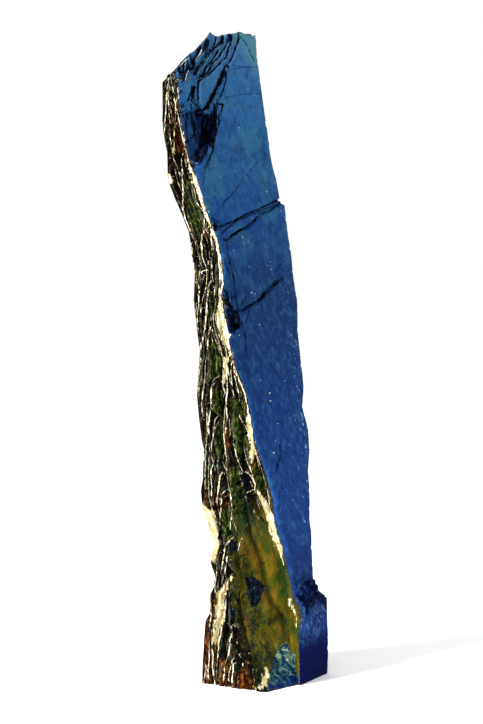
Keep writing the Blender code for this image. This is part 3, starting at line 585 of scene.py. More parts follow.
rear_share = np.linspace(0.0, 1.0, 52)[None, :]
rear_from, rear_to = face_right[:, None] - 0.010, along(REAR_EDGE, z) + 0.004
rear_x = rear_from + rear_share * (rear_to - rear_from)
rear_bevel = 0.003 * (smooth(0.04, 0.0, rear_share) + smooth(0.96, 1.0, rear_share))
REAR_FALLS = [
    (0.0065, [(0.40, 2.06), (0.40, 1.560), (0.180, 1.585), (0.110, 1.640), (0.060, 1.655),
              (0.020, 1.745), (-0.045, 1.790), (-0.080, 1.870), (-0.150, 2.06)]),
    (0.0075, [(-0.40, 1.330), (-0.060, 1.310), (-0.005, 1.215), (0.030, 1.150), (0.020, 1.040),
              (0.062, 0.930), (0.040, 0.820), (0.005, 0.735), (-0.40, 0.700)]),
    (0.0060, [(0.40, 0.520), (0.250, 0.500), (0.205, 0.410), (0.150, 0.365), (0.120, 0.260),
              (0.070, 0.190), (0.062, 0.080), (0.030, -0.050), (0.40, -0.050)]),
]
print("columns: edge", edge_x.shape[1], "face", front_x.shape[1], "right", right_x.shape[1],
      "rear", rear_x.shape[1])

# %% [markdown]
# ## Settling the heights
# The top of the slab is a ragged diagonal break, so the upper rings are drawn down to it. A point's
# height then depends on its depth, and its depth on its height, so the two are worked out in turn
# until they agree. Small terraces at the break give the top its stack of broken layers.

# %% Height of the break
def top_height(x, y):
    """Height of the diagonal break over a place."""
    return along(TOP_LINE, x - SKEW * (y - TOP_SKEW_Y))


def finished_height(x, y, ring_z):
    """Height of a ring's point once the upper rings are drawn down to the break."""
    part = np.clip((ring_z - TOP_BLEND_Z) / (HEIGHT - TOP_BLEND_Z), 0.0, 1.0)
    layer = 0.007 * grain(y / 0.009, x / 0.035, 101, 2) - 0.0075
    top = np.minimum(top_height(x, y) + layer * smooth(0.25, 1.0, part), HEIGHT)
    return np.where(ring_z <= TOP_BLEND_Z, ring_z, TOP_BLEND_Z + part * (top - TOP_BLEND_Z))


print("break over the middle:", round(float(top_height(0.0, 0.15)), 3))

# %% Settle the points
sizes = [edge_x.shape[1], front_x.shape[1], right_x.shape[1], rear_x.shape[1]]
ends = np.cumsum(sizes)
x = np.hstack([edge_x, front_x, right_x, rear_x])
y = np.hstack([edge_y, np.repeat(face_depth(z), sizes[1], 1), np.full(right_x.shape, BACK_Y),
               np.full(rear_x.shape, BACK_Y)])
ring_z = np.repeat(z, x.shape[1], 1)
edge_part, front_part = slice(0, ends[0]), slice(ends[0], ends[1])
right_part, rear_part = slice(ends[1], ends[2]), slice(ends[2], ends[3])
start_y = y.copy()
for turn_count in range(4):
    point_z = finished_height(x, y, ring_z)
    cut, groove = broad_face(x[:, :ends[1]], point_z[:, :ends[1]])
    plane = face_depth(point_z[:, :ends[1]])
    low_ring = ring_z < 0.45
    back_off = np.where(low_ring[:, edge_part], -1.0, plane[:, edge_part] + cut[:, edge_part])
    y[:, edge_part] = np.maximum(start_y[:, edge_part], back_off)
    fx, fz = x[:, front_part], point_z[:, front_part]
    crumble = 0.012 * grain(fx / 0.016, fz / 0.016, 37, 3)
    slope = (fz + crumble - ledge_top + 0.036) / 0.058
    slope = np.clip(np.floor(slope * 4.0) / 4.0 + smooth(0.5, 1.0, slope * 4.0 % 1.0) / 4.0, 0, 1)
    proud = FOOT_PROUD * (1.0 - slope)
    ledge = np.interp(fx, *zip(*UPPER_LEDGE))
    below = 0.0035 * (1.0 - smooth(ledge - 0.007, ledge + 0.002, fz))
    wave = 0.0012 * np.sin(7.0 * fz + 9.0 * fx) + 0.0008 * np.sin(31.0 * fz - 17.0 * fx)
    ripple = 0.0007 * grain(fx / 0.05, fz / 0.11, 33, 3) * smooth(0.0, 0.03, share)
    y[:, front_part] = (plane[:, front_part] - proud - below + wave + ripple + bevel + 0.0035
                        + cut[:, front_part] + groove[:, front_part])
    bx, bz = x[:, rear_part], point_z[:, rear_part]
    fallen = 0.0 * bx
    for deep, outline in REAR_FALLS:
        shake = 0.004 * grain(bx / 0.022, bz / 0.022, 61, 2)
        fallen = np.maximum(fallen, deep * within(bx + shake, bz + shake, outline, 0.002))
    swing = 0.0015 * np.sin(5.0 * bz - 8.0 * bx) + 0.0009 * grain(bx / 0.06, bz / 0.12, 63, 3)
    y[:, rear_part] = BACK_Y - 0.0028 + swing - rear_bevel - fallen
    corner = 0.0004 * np.minimum(np.arange(1, ends[0] + 1), 14)
    y[:, edge_part] = np.minimum(y[:, edge_part], y[:, -1:] - corner)
    front_y, rear_y = y[:, ends[1] - 1:ends[1]], y[:, ends[2]:ends[2] + 1]
    y[:, right_part] = front_y + right_share[None, :] * (rear_y - front_y)
point_z = finished_height(x, y, ring_z)
print("settled", x.size, "points; face at z 1.9 lies", round(float(y[608, ends[0] + 75]), 4), "deep")

# %% [markdown]
# ## Weathering, painted highlight and shade of the layered edge
# Water, iron and algae do not reach every part of a broken edge alike. So each kind of weathering
# has places of its own: cream where thin crests dried out, which is partly a painted highlight where
# they face the light, and rust and green where water creeps behind a rim. The dark patches are partly
# painted shade in hollows and beside rims, and the black patches are nearly black. Each patch is an
# outline on the edge, as it is seen from off its corner.

# %% Patches of weathering, painted highlight and shade
# outlines by kind, each point as (percent of the edge's width, height in millimetres)
PATCHES = {
    "fresh": [
        [(69, 55), (77, 98), (84, 113), (89, 133), (96, 88), (100, 18), (99, 0), (66, 0), (68, 28)],
    ],
    "dark": [
        [(41, 305), (44, 323), (52, 338), (63, 312), (68, 297), (62, 263), (53, 228), (50, 245),
         (48, 270)],
        [(24, 438), (31, 450), (38, 445), (36, 410), (30, 400), (21, 420)],
        [(18, 297), (21, 288), (29, 230), (26, 185), (21, 215)],
        [(67, 665), (76, 665), (80, 645), (73, 610), (65, 618), (62, 640)],
    ],
    "cream": [
        [(-5, 578), (3, 560), (15, 555), (18, 540), (13, 475), (5, 367), (-6, 420)],
        [(83, 613), (94, 585), (104, 540), (106, 350), (102, 395), (96, 415), (93, 450), (94, 532),
         (87, 583)],
        [(27, 338), (21, 320), (18, 297), (18, 190), (13, 118), (10, 135), (11, 185), (8, 223), (9, 290),
         (20, 330)],
        [(98, 855), (106, 868), (106, 790), (96, 735), (86, 703), (85, 720), (96, 765), (92, 805)],
        [(92, 1205), (98, 1195), (96, 1173), (106, 1120), (104, 1080), (88, 1062), (80, 1078),
         (72, 1135), (76, 1165)],
        [(73, 1030), (87, 1030), (76, 973), (58, 940), (62, 973)],
        [(-4, 1570), (6, 1575), (20, 1555), (9, 1548), (-5, 1545)],
        [(25, 1665), (45, 1675), (45, 1655), (28, 1640)],
        [(66, 68), (69, 55), (67, 20), (55, 5), (62, 28)],
    ],
    "black": [
        [(4, 1690), (23, 1693), (22, 1645), (41, 1583), (22, 1568), (-4, 1575)],
        [(5, 1542), (43, 1565), (35, 1530), (4, 1463), (-5, 1475)],
    ],
    "rust": [
        [(47, 95), (51, 35), (53, 0), (44, 0), (43, 62)],
        [(33, 50), (39, 65), (43, 37), (42, 0), (36, 0)],
        [(52, 818), (60, 810), (56, 750), (50, 733), (49, 763)],
        [(-4, 260), (6, 270), (9, 120), (24, 80), (34, 60), (34, 0), (-6, 0)],
        [(66, 1828), (99, 1825), (80, 1790), (67, 1755), (56, 1715), (39, 1700), (49, 1778)],
        [(91, 1778), (106, 1772), (102, 1708), (82, 1640), (53, 1630), (40, 1623), (63, 1703)],
        [(106, 1698), (105, 1617), (88, 1607), (80, 1623), (93, 1650)],
    ],
    "green": [
        [(47, 1530), (72, 1558), (71, 1500), (73, 1435), (60, 1410), (28, 1375), (17, 1435), (36, 1500)],
        [(60, 1232), (73, 1228), (79, 1203), (60, 1147), (46, 1157)],
        [(42, 1070), (59, 1078), (69, 1022), (50, 965), (28, 950), (30, 988)],
        [(36, 927), (48, 930), (55, 917), (54, 880), (41, 843), (29, 840)],
        [(39, 830), (50, 835), (45, 770), (34, 708), (19, 720)],
        [(70, 912), (80, 897), (99, 893), (88, 838), (91, 763), (76, 723), (65, 725), (63, 860)],
        [(16, 540), (44, 560), (50, 430), (42, 350), (30, 345), (20, 440)],
        [(43, 677), (59, 685), (64, 610), (57, 520), (47, 480)],
        [(86, 690), (92, 670), (104, 677), (106, 545), (91, 600), (84, 620)],
    ],
}
kinds = tuple(PATCHES)
print({kind: len(outlines) for kind, outlines in PATCHES.items()})

# %% Deep places and the worn brink
# deep places that the light never reaches, painted as shade, outlined in millimetres where a viewer sees
# them on the face
DEEP_MM = [
    [(-187, 1762), (-164, 1769), (-145, 1747), (-128, 1737), (-111, 1755), (-80, 1778), (-79, 1742),
     (-99, 1696), (-110, 1670), (-146, 1644), (-166, 1615), (-204, 1596), (-212, 1618), (-193, 1644),
     (-184, 1650), (-175, 1682), (-176, 1714), (-181, 1736)],
    [(0, 1997), (27, 1997), (12, 1972), (-4, 1965)],
    [(-115, 1210), (-99, 1211), (-84, 1191), (-67, 1176), (-44, 1163), (-33, 1145), (-42, 1124),
     (-59, 1111), (-73, 1095), (-82, 1106), (-85, 1127), (-94, 1149), (-112, 1179)],
    [(-210, 1906), (-223, 1900), (-236, 1885), (-245, 1871), (-252, 1853), (-260, 1830), (-238, 1831),
     (-221, 1852), (-207, 1872), (-190, 1890), (-171, 1908), (-173, 1914), (-189, 1902), (-202, 1893),
     (-214, 1895)],
    [(-137, 1947), (-153, 1941), (-167, 1926), (-163, 1919), (-147, 1930)],
    [(-88, 1982), (-98, 1970), (-107, 1958), (-118, 1946), (-124, 1934), (-117, 1934), (-109, 1945),
     (-99, 1957), (-91, 1969)],
    [(-191, 1922), (-223, 1914), (-247, 1899), (-262, 1887), (-273, 1872), (-259, 1873), (-249, 1883),
     (-238, 1894), (-220, 1904), (-192, 1916)],
]
# width in mm of the pale rim where the edge meets the broad face, partly worn and partly a painted
# highlight, by height
BRINK = [(0.0, 0.1), (0.17, 0.1), (0.20, 8), (0.25, 20), (0.262, 16), (0.27, 0.1), (0.35, 0.1), (0.38, 4),
         (0.58, 5), (0.62, 2), (0.70, 2), (0.72, 10), (0.85, 12), (0.88, 2), (0.95, 6), (1.05, 9),
         (1.09, 16), (1.12, 15), (1.18, 7), (1.22, 10), (1.30, 11), (1.38, 13), (1.45, 15),
         (1.50, 16), (1.56, 20), (1.60, 12), (1.63, 6), (1.76, 4), (1.83, 3), (2.0, 3)]
print(len(DEEP_MM), "deep places")

# %% [markdown]
# ## High places and joints
# The weather works on relief: high laminae are rubbed pale and the joints between them stay dark.
# The light adds to both, so the material paints a highlight on crests turned to the light and shade
# in the clefts. To know which is which, compare the edge with a smoothed copy of itself. What stands
# above the copy is a crest, worn and lit, and what lies below it is a cleft. The measures are kept on
# the mesh for the material.

# %% Measures for the material
def softened(values, across, up):
    """Mean over neighbouring columns, then over neighbouring rings."""
    total, size = 0.0 * values, values.shape[1]
    for shift in range(-across, across + 1):
        total = total + values[:, np.clip(np.arange(size) + shift, 0, size - 1)]
    values, total = total / (2 * across + 1), 0.0 * values
    for shift in range(-up, up + 1):
        total = total + values[np.clip(np.arange(len(values)) + shift, 0, len(values) - 1), :]
    return total / (2 * up + 1)


REACH = 30.0


def inward(x, z, outline):
    """Distance inside a drawn outline in millimetres, negative outside, up to a set reach."""
    side = np.where(within(x, z, outline, 1e-6) > 0.5, 1000.0, -1000.0)
    return np.clip(side * near_line(x, z, outline + outline[:1]), -REACH, REACH)


shape = x.shape
measures = {name: np.zeros(shape) for name in
            ("edge", "left", "front", "layer", "wide", "crest", "cleft", "deep", "flake", "ground",
             "margin", "ledge", "brink", "valley", "crease") + kinds}
far_off = {"margin": 900.0, "ledge": 900.0, "brink": 900.0}
far_off.update({name: -REACH for name in ("deep", "ground") + kinds})
for name, value in far_off.items():
    measures[name] += value
print(len(measures), "measures to fill")

# %% Crests, clefts and layers of the edge
crest = outs - softened(outs, 7, 5)
measures["edge"][:, edge_part], measures["left"][:, edge_part] = 1.0, 1.0
measures["front"][:, :ends[1]] = 1.0
crest_highlight_share = smooth(-0.15, 0.35, grain(parts / 0.05, z / 0.09, 131, 2))
crest_highlight_share = np.maximum(smooth(0.25, 0.75, rim_near), 0.85 * crest_highlight_share)
broken = smooth(-0.55, -0.15, grain(parts / 0.03, z / 0.020, 137, 2))
measures["crest"][:, edge_part] = np.clip(crest / 0.0045, 0.0, 1.0) * crest_highlight_share * broken
measures["cleft"][:, edge_part] = np.clip(-crest / 0.0045, 0.0, 1.0)
measures["flake"][:, edge_part] = smooth(0.46, 0.58, parts) * (1.0 - smooth(0.44, 0.62, z))
measures["layer"][:, edge_part], measures["wide"][:, edge_part] = layer, wide_mm
measures["layer"][:, right_part] = 7.0 - 7.0 * right_share[None, :]
measures["wide"][:, right_part] = 28.0
measures["edge"][:, right_part] = 1.0
print("worn crests on", round(float((measures["crest"] > 0.5).mean()), 3), "of the grid")

# %% Places on the face and patches of the edge
SEEN_WIDTH = 0.3
sx, sz = x[:, :ends[1]], point_z[:, :ends[1]]
behind = np.hstack([y[:, edge_part] > start_y[:, edge_part] + 0.0005, np.full(front_x.shape, True)])
measures["edge"][:, edge_part] = 1.0 - smooth(0.0, 0.003, y[:, edge_part] - start_y[:, edge_part])
seen_x = sx - SKEW * (y[:, :ends[1]] - face_depth(sz))
for outline in DEEP_MM:
    depth = np.where(behind, inward(seen_x, sz, metres(outline)), -REACH)
    measures["deep"][:, :ends[1]] = np.maximum(measures["deep"][:, :ends[1]], depth)
depth = np.maximum(inward(sx, sz, HOLLOW), inward(sx, sz, POCKET))
measures["ground"][:, :ends[1]] = np.where(behind, depth, -REACH)
measures["margin"][:, front_part] = 1000.0 * (face_right[:, None] - fx)
rear_s, front_s = [ex - SKEW * ey for ex, ey in (envelope(0.0, z), envelope(1.0, z))]
edge_run = x[:, edge_part] - SKEW * y[:, edge_part]
seen = (edge_run - rear_s) / (front_s - rear_s)
for kind, outlines in PATCHES.items():
    for outline in outlines:
        scaled = [(SEEN_WIDTH * percent / 100, height / 1000) for percent, height in outline]
        depth = inward(SEEN_WIDTH * seen, z + 0.0 * seen, scaled)
        measures[kind][:, edge_part] = np.maximum(measures[kind][:, edge_part], depth)
measures["brink"][:, edge_part] = 1000.0 * (edge_run[:, -1:] - edge_run) / along(BRINK, z)
across = (parts - SHOULDER_PART) / (1.0 - SHOULDER_PART)
off_valley = across - along(VALLEY, z)
alive = smooth(0.14, 0.20, z) * (1.0 - smooth(0.50, 0.58, z)) * (across > 0.0)
measures["valley"][:, edge_part] = np.clip(off_valley, -1.0, 1.0)
measures["crease"][:, edge_part] = np.exp(-(off_valley / 0.045) ** 2) * alive
measures["ledge"][:, front_part] = 1000.0 * (fz - ledge_top)
print({name: round(float(values.mean()), 3) for name, values in measures.items()})

# %% [markdown]
# ## One closed skin
# The rings are joined into one skin, closed by a flat base to stand on and a terraced top. The grid
# is much finer than the flat parts need, so it is thinned afterwards: a decimation gives up points
# where the stone is plain, and keeps them where laminae break.

# %% Rings of points
column_count = x.shape[1]
ring_points = np.stack([x, y, point_z], axis=2).reshape(-1, 3)
row = np.arange(RING_COUNT)[:, None] * column_count
col = np.arange(column_count)[None, :]
beside = (col + 1) % column_count
quads = np.stack([row + col, row + beside, row + column_count + beside,
                  row + column_count + col], axis=2).reshape(-1, 4)
faces = quads.tolist()
points = ring_points.tolist()
print(len(faces), "four-sided faces round the stone")

# %% Close the base and the top
def cap(first, ring, inside, flip):
    """Close a ring with triangles, using extra points inside it."""
    flat = [Vector((point[0], point[1])) for point in ring + inside]
    found = delaunay_2d_cdt(flat, [], [list(range(len(ring)))], 1, 1e-7)
    if len(found[0]) > len(flat):
        print("cap: the ring crosses itself", len(found[0]) - len(flat), "times")
    number = {}
    for spot, sources in enumerate(found[3]):
        for source in sources:
            number[spot] = first + source if source < len(ring) else ("new", source - len(ring))
    for face in found[2]:
        corners = [number[spot] for spot in face]
        for place, corner in enumerate(corners):
            if isinstance(corner, tuple):
                corners[place] = len(points)
                for spot in face:
                    if number[spot] == corner:
                        number[spot] = len(points)
                points.append(inside[corner[1]])
        faces.append(corners[::-1] if flip else corners)


top_ring = [tuple(point) for point in ring_points[-column_count:].tolist()]
lattice = [(lx, ly) for lx in np.arange(x[-1].min(), x[-1].max(), 0.007)
           for ly in np.arange(y[-1].min(), y[-1].max(), 0.0055)]
inner = []
lattice_x, lattice_y = np.array([p[0] for p in lattice]), np.array([p[1] for p in lattice])
clear = within(lattice_x, lattice_y, [(p[0], p[1]) for p in top_ring[::4]], 0.004)
for lx, ly, free in zip(lattice_x, lattice_y, clear):
    if free > 0.95:
        height = float(finished_height(np.array(lx), np.array(ly), np.array(HEIGHT)))
        inner.append((float(lx), float(ly), height))
cap(RING_COUNT * column_count, top_ring, inner, False)
cap(0, [tuple(point) for point in ring_points[:column_count].tolist()], [], True)

print(len(inner), "points inside the top ring")

# %% Mesh with its measures
placed = np.array(points) - np.array([CENTRE_X, CENTRE_Y, 0.0])
for axis in range(3):
    placed[:, axis] = np.clip(placed[:, axis], solid_box[0][axis], solid_box[1][axis])
fine = bpy.data.meshes.new("fine_grid")
fine.from_pydata(placed.tolist(), [], faces)
for name, values in measures.items():
    added = np.array(points[values.size:])
    tail = {"edge": 1.0, "wide": 16.0, "layer": added[:, 1] / 0.016}.get(name, far_off.get(name, 0.0))
    tail = tail + 0.0 * added[:, 1]
    kept = fine.attributes.new(name, "FLOAT", "POINT")
    kept.data.foreach_set("value", np.concatenate([values.reshape(-1), tail]))
print("fine grid:", len(fine.vertices), "points,", len(fine.polygons), "faces")

# %% Thin the grid
TRIANGLES = 185000
slab = bpy.data.objects.new("slate_slab_stone", fine)
bpy.context.scene.collection.objects.link(slab)
thin = slab.modifiers.new("thin", "DECIMATE")
thin.ratio = TRIANGLES / (len(faces) + len(quads))
ready = slab.evaluated_get(bpy.context.evaluated_depsgraph_get())
skin = bpy.data.meshes.new_from_object(ready)
skin.name = "slate_slab_skin"
slab.modifiers.clear()
slab.data = skin
bpy.data.meshes.remove(fine)
low, high = solid_box
for vertex in skin.vertices:
    vertex.co = [min(max(value, low[axis]), high[axis]) for axis, value in enumerate(vertex.co)]
skin.polygons.foreach_set("use_smooth", [True] * len(skin.polygons))
skin.set_sharp_from_angle(angle=math.radians(38.0))
skin.validate()
print("skin:", len(skin.vertices), "points,", len(skin.polygons), "faces")
print("measures kept:", [kept.name for kept in skin.attributes if kept.name in measures])

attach(slab, "root")
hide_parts("slate_slab")

# %% [markdown]
# ## Weathered riven slate
# Slate is a fine clay stone, pressed until its mica flakes all lie one way. A fresh cleavage face is
# blue-grey with a dull silky sheen. Rain carries iron along the joints, so broken treads turn olive,
# rust and nearly black, while thin crests dry out and rub to a chalky cream. Colours are written as
# sRGB hex values, and one function turns them into the linear values the shader needs.

# %% Colour and node helpers
def linear(code):
    """Linear colour from an sRGB hex code."""
    parts = [int(code[place:place + 2], 16) / 255.0 for place in (0, 2, 4)]
    return [part / 12.92 if part <= 0.04045 else ((part + 0.055) / 1.055) ** 2.4
            for part in parts] + [1.0]


stone = bpy.data.materials.new("weathered_riven_slate")
stone.use_nodes = True
tree = stone.node_tree
shader = tree.nodes["Principled BSDF"]


def add(kind, inputs, output=0, **settings):
    """Add a node with its settings, fill its inputs with values or links, return an output."""
    made = tree.nodes.new(kind)
    for name, value in settings.items():
        setattr(made, name, value)
    for name, value in inputs.items():
        if isinstance(value, bpy.types.NodeSocket):
            tree.links.new(value, made.inputs[name])
        else:
            made.inputs[name].default_value = value
    return made.outputs[output]


def mixed(share, first, second, blend="MIX"):
    """Blend two colours, given as sockets or hex codes."""
    first, second = [linear(c) if isinstance(c, str) else c for c in (first, second)]
    return add("ShaderNodeMix", {0: share, 6: first, 7: second}, 2, data_type="RGBA",
               blend_type=blend)


def ramp(value, stops):
    """Colours along a value, as (place, hex code) stops."""
    made = tree.nodes.new("ShaderNodeValToRGB")
    tree.links.new(value, made.inputs[0])
    bar = made.color_ramp.elements
    while len(bar) < len(stops):
        bar.new(0.5)
    for stop, (place, code) in zip(bar, stops):
        stop.position, stop.color = place, linear(code)
    return made.outputs[0]


print("half grey is", round(linear("808080")[0], 3), "linear")

# %% Sums on values
def between(value, low, high, to_low=0.0, to_high=1.0):
    """Smooth step of a value from one range to another."""
    return add("ShaderNodeMapRange", {0: value, 1: low, 2: high, 3: to_low, 4: to_high},
               interpolation_type="SMOOTHSTEP")


def maths(operation, first, second=0.0, third=0.0):
    """One sum on up to three values."""
    return add("ShaderNodeMath", {0: first, 1: second, 2: third}, operation=operation)


def product(first, *others):
    """Several values multiplied."""
    for value in others:
        first = maths("MULTIPLY", first, value)
    return first


def most(first, *others):
    """The largest of several values."""
    for value in others:
        first = maths("MAXIMUM", first, value)
    return first


def centred(value, span):
    """A value from 0 to 1, such as noise, as a shift to both sides of nothing."""
    return maths("MULTIPLY_ADD", value, span, -0.5 * span)


def tinted(base, field, low, high, cover, tone):
    """A tone laid over a colour where a field is high, with its greatest cover."""
    return mixed(between(field, low, high, 0.0, cover), base, tone)


print("helpers for sums ready")

# %% Places, measures and noise
spot = add("ShaderNodeTexCoord", {}, 3)
split = add("ShaderNodeSeparateXYZ", {0: spot}, 0)
place_x, place_z = maths("ADD", split, CENTRE_X), split.node.outputs[2]
place_y = maths("ADD", split.node.outputs[1], CENTRE_Y)
diagonal = maths("MULTIPLY_ADD", place_y, -SKEW, place_x)
facing = add("ShaderNodeSeparateXYZ", {0: add("ShaderNodeNewGeometry", {}, 1)}, 0)
measure = {name: add("ShaderNodeAttribute", {}, 2, attribute_name=name) for name in measures}


def noise(scale, detail=3.0, stretch=(1.0, 1.0, 1.0), shift=0.0, rough=0.55, warp=0.0, turned=0.0):
    """Noise with so many lumps to the metre, stretched by axis, leaning by an angle."""
    lean = add("ShaderNodeVectorRotate", {0: spot, 3: turned}, rotation_type="Y_AXIS") if turned else spot
    where = add("ShaderNodeMapping", {0: lean, 1: (shift, shift, shift), 3: stretch})
    return add("ShaderNodeTexNoise", {0: where, "Scale": scale, "Detail": detail,
                                      "Roughness": rough, "Distortion": warp})


print("helpers ready")

# %% [markdown]
# ### Cracks and fallen layers
# The dark lines of the face are only one to four millimetres wide, which is finer than the mesh.
# So each one is drawn in the material from the same points that cut its groove: a curve gives the
# line's course, and the stone is dark where a place lies close to that course. A little noise moves
# the course and the width, because a crack is torn and not ruled.
# Cycles can only hold so many values at once for one material. Lines that do not overlap along their
# run therefore share one track: one curve holds the place of the line, another its half width, which
# falls to nothing between one line and the next.

# %% Lines on shared tracks
shiver_x = centred(noise(70.0, 3.0, shift=21.0), 0.0056)
shiver_z = centred(noise(60.0, 3.0, shift=27.0), 0.0038)
line_x, line_z = maths("ADD", place_x, shiver_x), maths("ADD", place_z, shiver_z)
width_change = between(noise(32.0, 2.0, shift=33.0), 0.36, 0.64, 0.60, 1.25)
WIDEST = 0.04


def one_way(points, axis):
    """Whether a line's points always go the same way along an axis."""
    gaps = [after[axis] - before[axis] for before, after in zip(points, points[1:])]
    return all(gap > 0.001 for gap in gaps) or all(gap < -0.001 for gap in gaps)


def tracks(lines, run):
    """Share (half width, line) pairs out, so that no two in a track overlap along their run."""
    rising = [(half, sorted(line, key=lambda point: point[run])) for half, line in lines]
    shared = []
    for half, line in sorted(rising, key=lambda entry: entry[1][0][run]):
        free = [track for track in shared if track[-1][1][-1][run] + 0.014 < line[0][run]]
        if free:
            free[0].append((half, line))
        else:
            shared.append([(half, line)])
    return shared


print("tracks for the joints:", len(tracks([(half, line) for half, deep, line in JOINTS], 1)))

# %% Follow a track
def curve_through(part, stops):
    """A value that runs straight between (place, value) stops, all from 0 to 1."""
    followed = add("ShaderNodeFloatCurve", {1: part})
    curve = followed.node.mapping.curves[0]
    for place, value in stops[1:-1]:
        curve.points.new(place, value)
    curve.points[0].location, curve.points[-1].location = stops[0], stops[-1]
    for point in curve.points:
        point.handle_type = "VECTOR"
    followed.node.mapping.update()
    return followed


def follow(track, run, here, beside, taper, squeeze=1.0):
    """How far off the lines of a track a place is, signed, and their half width beside it."""
    bottom, top = track[0][1][0][run] - 0.02, track[-1][1][-1][run] + 0.02
    offs = [point[1 - run] for half, line in track for point in line]
    low, high = min(offs), max(offs) + 0.004
    courses, widths = [(0.0, 0.5), (1.0, 0.5)], [(0.0, 0.0), (1.0, 0.0)]
    for half, line in track:
        first, last = line[0][run], line[-1][run]
        fade = taper * (last - first)
        for index, point in enumerate(line):
            before, after = line[max(index - 1, 0)], line[min(index + 1, len(line) - 1)]
            lean = squeeze * (after[1 - run] - before[1 - run]) / (after[run] - before[run])
            share = (point[run] - bottom) / (top - bottom)
            courses.append((share, (point[1 - run] - low) / (high - low)))
            inner = min(max(point[run], first + fade), last - fade)
            widths.append(((inner - bottom) / (top - bottom), half * math.hypot(1.0, lean) / WIDEST))
        widths += [((end - bottom) / (top - bottom), 0.0) for end in (first - 0.002, last + 0.002)]
    part = add("ShaderNodeMapRange", {0: here, 1: bottom, 2: top})
    place = curve_through(part, sorted(courses))
    apart = maths("MULTIPLY_ADD", place, low - high, maths("SUBTRACT", beside, low))
    return apart, curve_through(part, sorted(widths))


def torn(lines):
    """1 on torn lines of the face that taper to their ends, 0 beside them."""
    total = 0.0
    for run in (1, 0):
        chosen = [entry for entry in lines if one_way(entry[1], 1) == bool(run)]
        here, beside = (line_z, line_x) if run else (line_x, line_z)
        for track in tracks(chosen, run):
            apart, half = follow(track, run, here, beside, 0.12)
            half = product(half, product(width_change, WIDEST))
            total = most(maths("COMPARE", apart, 0.0, half), total)
    return total


print("line helpers ready")

# %% [markdown]
# Behind each fallen layer the face lies in its shade, which is painted in as a darkening that fades
# away over a finger's width, and the broken rim of the layer in front catches the light, painted as a
# paler blue. So a fall needs its own curve, which tells on which side of it a place lies.

# %% Draw the lines of the face
# lines seen only as a change of tone
FAINT = [[(-0.001, 1.880), (0.040, 1.889), (0.101, 1.898), (0.163, 1.899)],
         [(-0.024, 1.800), (0.030, 1.810), (0.091, 1.815), (0.170, 1.820)],
         [(0.197, 1.642), (0.117, 1.611), (0.042, 1.563), (0.014, 1.549)]]
HAIR = 0.0023
cracked = torn([(0.85 * half, line) for half, deep, line in JOINTS if half >= HAIR])
hair = torn([(0.85 * half, line) for half, deep, line in JOINTS if half < HAIR])
tones = torn([(0.0022, line) for line in FAINT])
shaded, lit = 0.0, 0.0
for step, half, line in FALLS:
    apart, reach = follow([(half, sorted(line, key=lambda point: point[1]))], 1, line_z, line_x, 0.05)
    half_here = product(reach, product(width_change, 0.75 * WIDEST))
    there = maths("GREATER_THAN", reach, 0.0)
    cracked = most(maths("COMPARE", apart, 0.0, half_here), cracked)
    hair = most(product(there, maths("COMPARE", apart, -0.017, 0.0016)), hair)
    # painted shade behind the fall, and a painted highlight on the rim in front of it
    shade = add("ShaderNodeMapRange", {0: apart, 1: -(0.004 + 2.2 * step), 2: 0.0})
    shade = product(maths("POWER", shade, 1.6), maths("LESS_THAN", apart, 0.0))
    shaded = most(product(shade, there), shaded)
    lit = most(product(product(between(apart, 0.012, 0.004), maths("GREATER_THAN", apart, 0.0)),
                         there), lit)
cracked, hair, tones, shaded, lit = [product(drawn, measure["front"])
                                     for drawn in (cracked, hair, tones, shaded, lit)]
print(len(JOINTS) + 2 * len(FALLS), "cracks drawn")

# %% [markdown]
# ### The blue face
# The cleavage face is one colour with slow changes: paler and greyer near the top, deeper lower
# down, and almost navy at the foot. Over that lie cloudy patches a hand wide, fine upright
# striae a few millimetres apart, and grains of pale quartz and pyrite no bigger than a lentil.

# %% Blue face
height_share = add("ShaderNodeMapRange", {0: place_z, 1: 0.0, 2: 2.0})
wobble = centred(noise(5.0, 3.0), 0.08)
blue = ramp(maths("ADD", height_share, wobble),
            [(0.0, "00052E"), (0.055, "00073A"), (0.085, "102A63"), (0.13, "10285A"),
             (0.28, "153874"), (0.42, "10326A"), (0.60, "0F2F5A"), (0.70, "153C72"),
             (0.80, "1E4C80"), (0.90, "275A8E"), (1.0, "3A6A98")])
hand = noise(13.0, 5.0, (1.0, 1.0, 0.7), 3.0, 0.62)
high_part = between(place_z, 1.05, 1.60)
blue = mixed(product(between(hand, 0.44, 0.66, 0.0, 0.60), high_part), blue, "2F6478")
blue = tinted(blue, noise(21.0, 5.0, (1, 1, 0.8), 7.0, 0.65), 0.50, 0.70, 0.50, "0B2450")
mist = noise(60.0, 4.0, (1.0, 1.0, 0.30), 17.0, 0.6, 0.6, 0.7)
blue = tinted(blue, mist, 0.52, 0.72, 0.18, "4C7CA8")
striae = noise(150.0, 3.0, (1.0, 1.0, 0.12), 1.0, 0.6, 0.0, 0.8)
blue = tinted(blue, striae, 0.50, 0.70, 0.09, "4A7AA6")
blue = tinted(blue, striae, 0.48, 0.34, 0.18, "0A1F4A")
skin_mottle = noise(48.0, 6.0, (1.0, 1.0, 0.8), 13.0, 0.72)
blue = tinted(blue, skin_mottle, 0.50, 0.66, 0.24, "3C72A0")
blue = tinted(blue, skin_mottle, 0.49, 0.36, 0.38, "081C46")
# Painted highlight on the broken rims in front of the falls.
blue = mixed(product(lit, 0.38), blue, "6C9CCB")
pale_top_corner = between(maths("MULTIPLY_ADD", place_x, 0.9, place_z), 1.985, 2.06)
blue = mixed(product(pale_top_corner, between(hand, 0.35, 0.6, 0.45, 0.9)), blue, "4B7C86")
print("blue face tones ready")
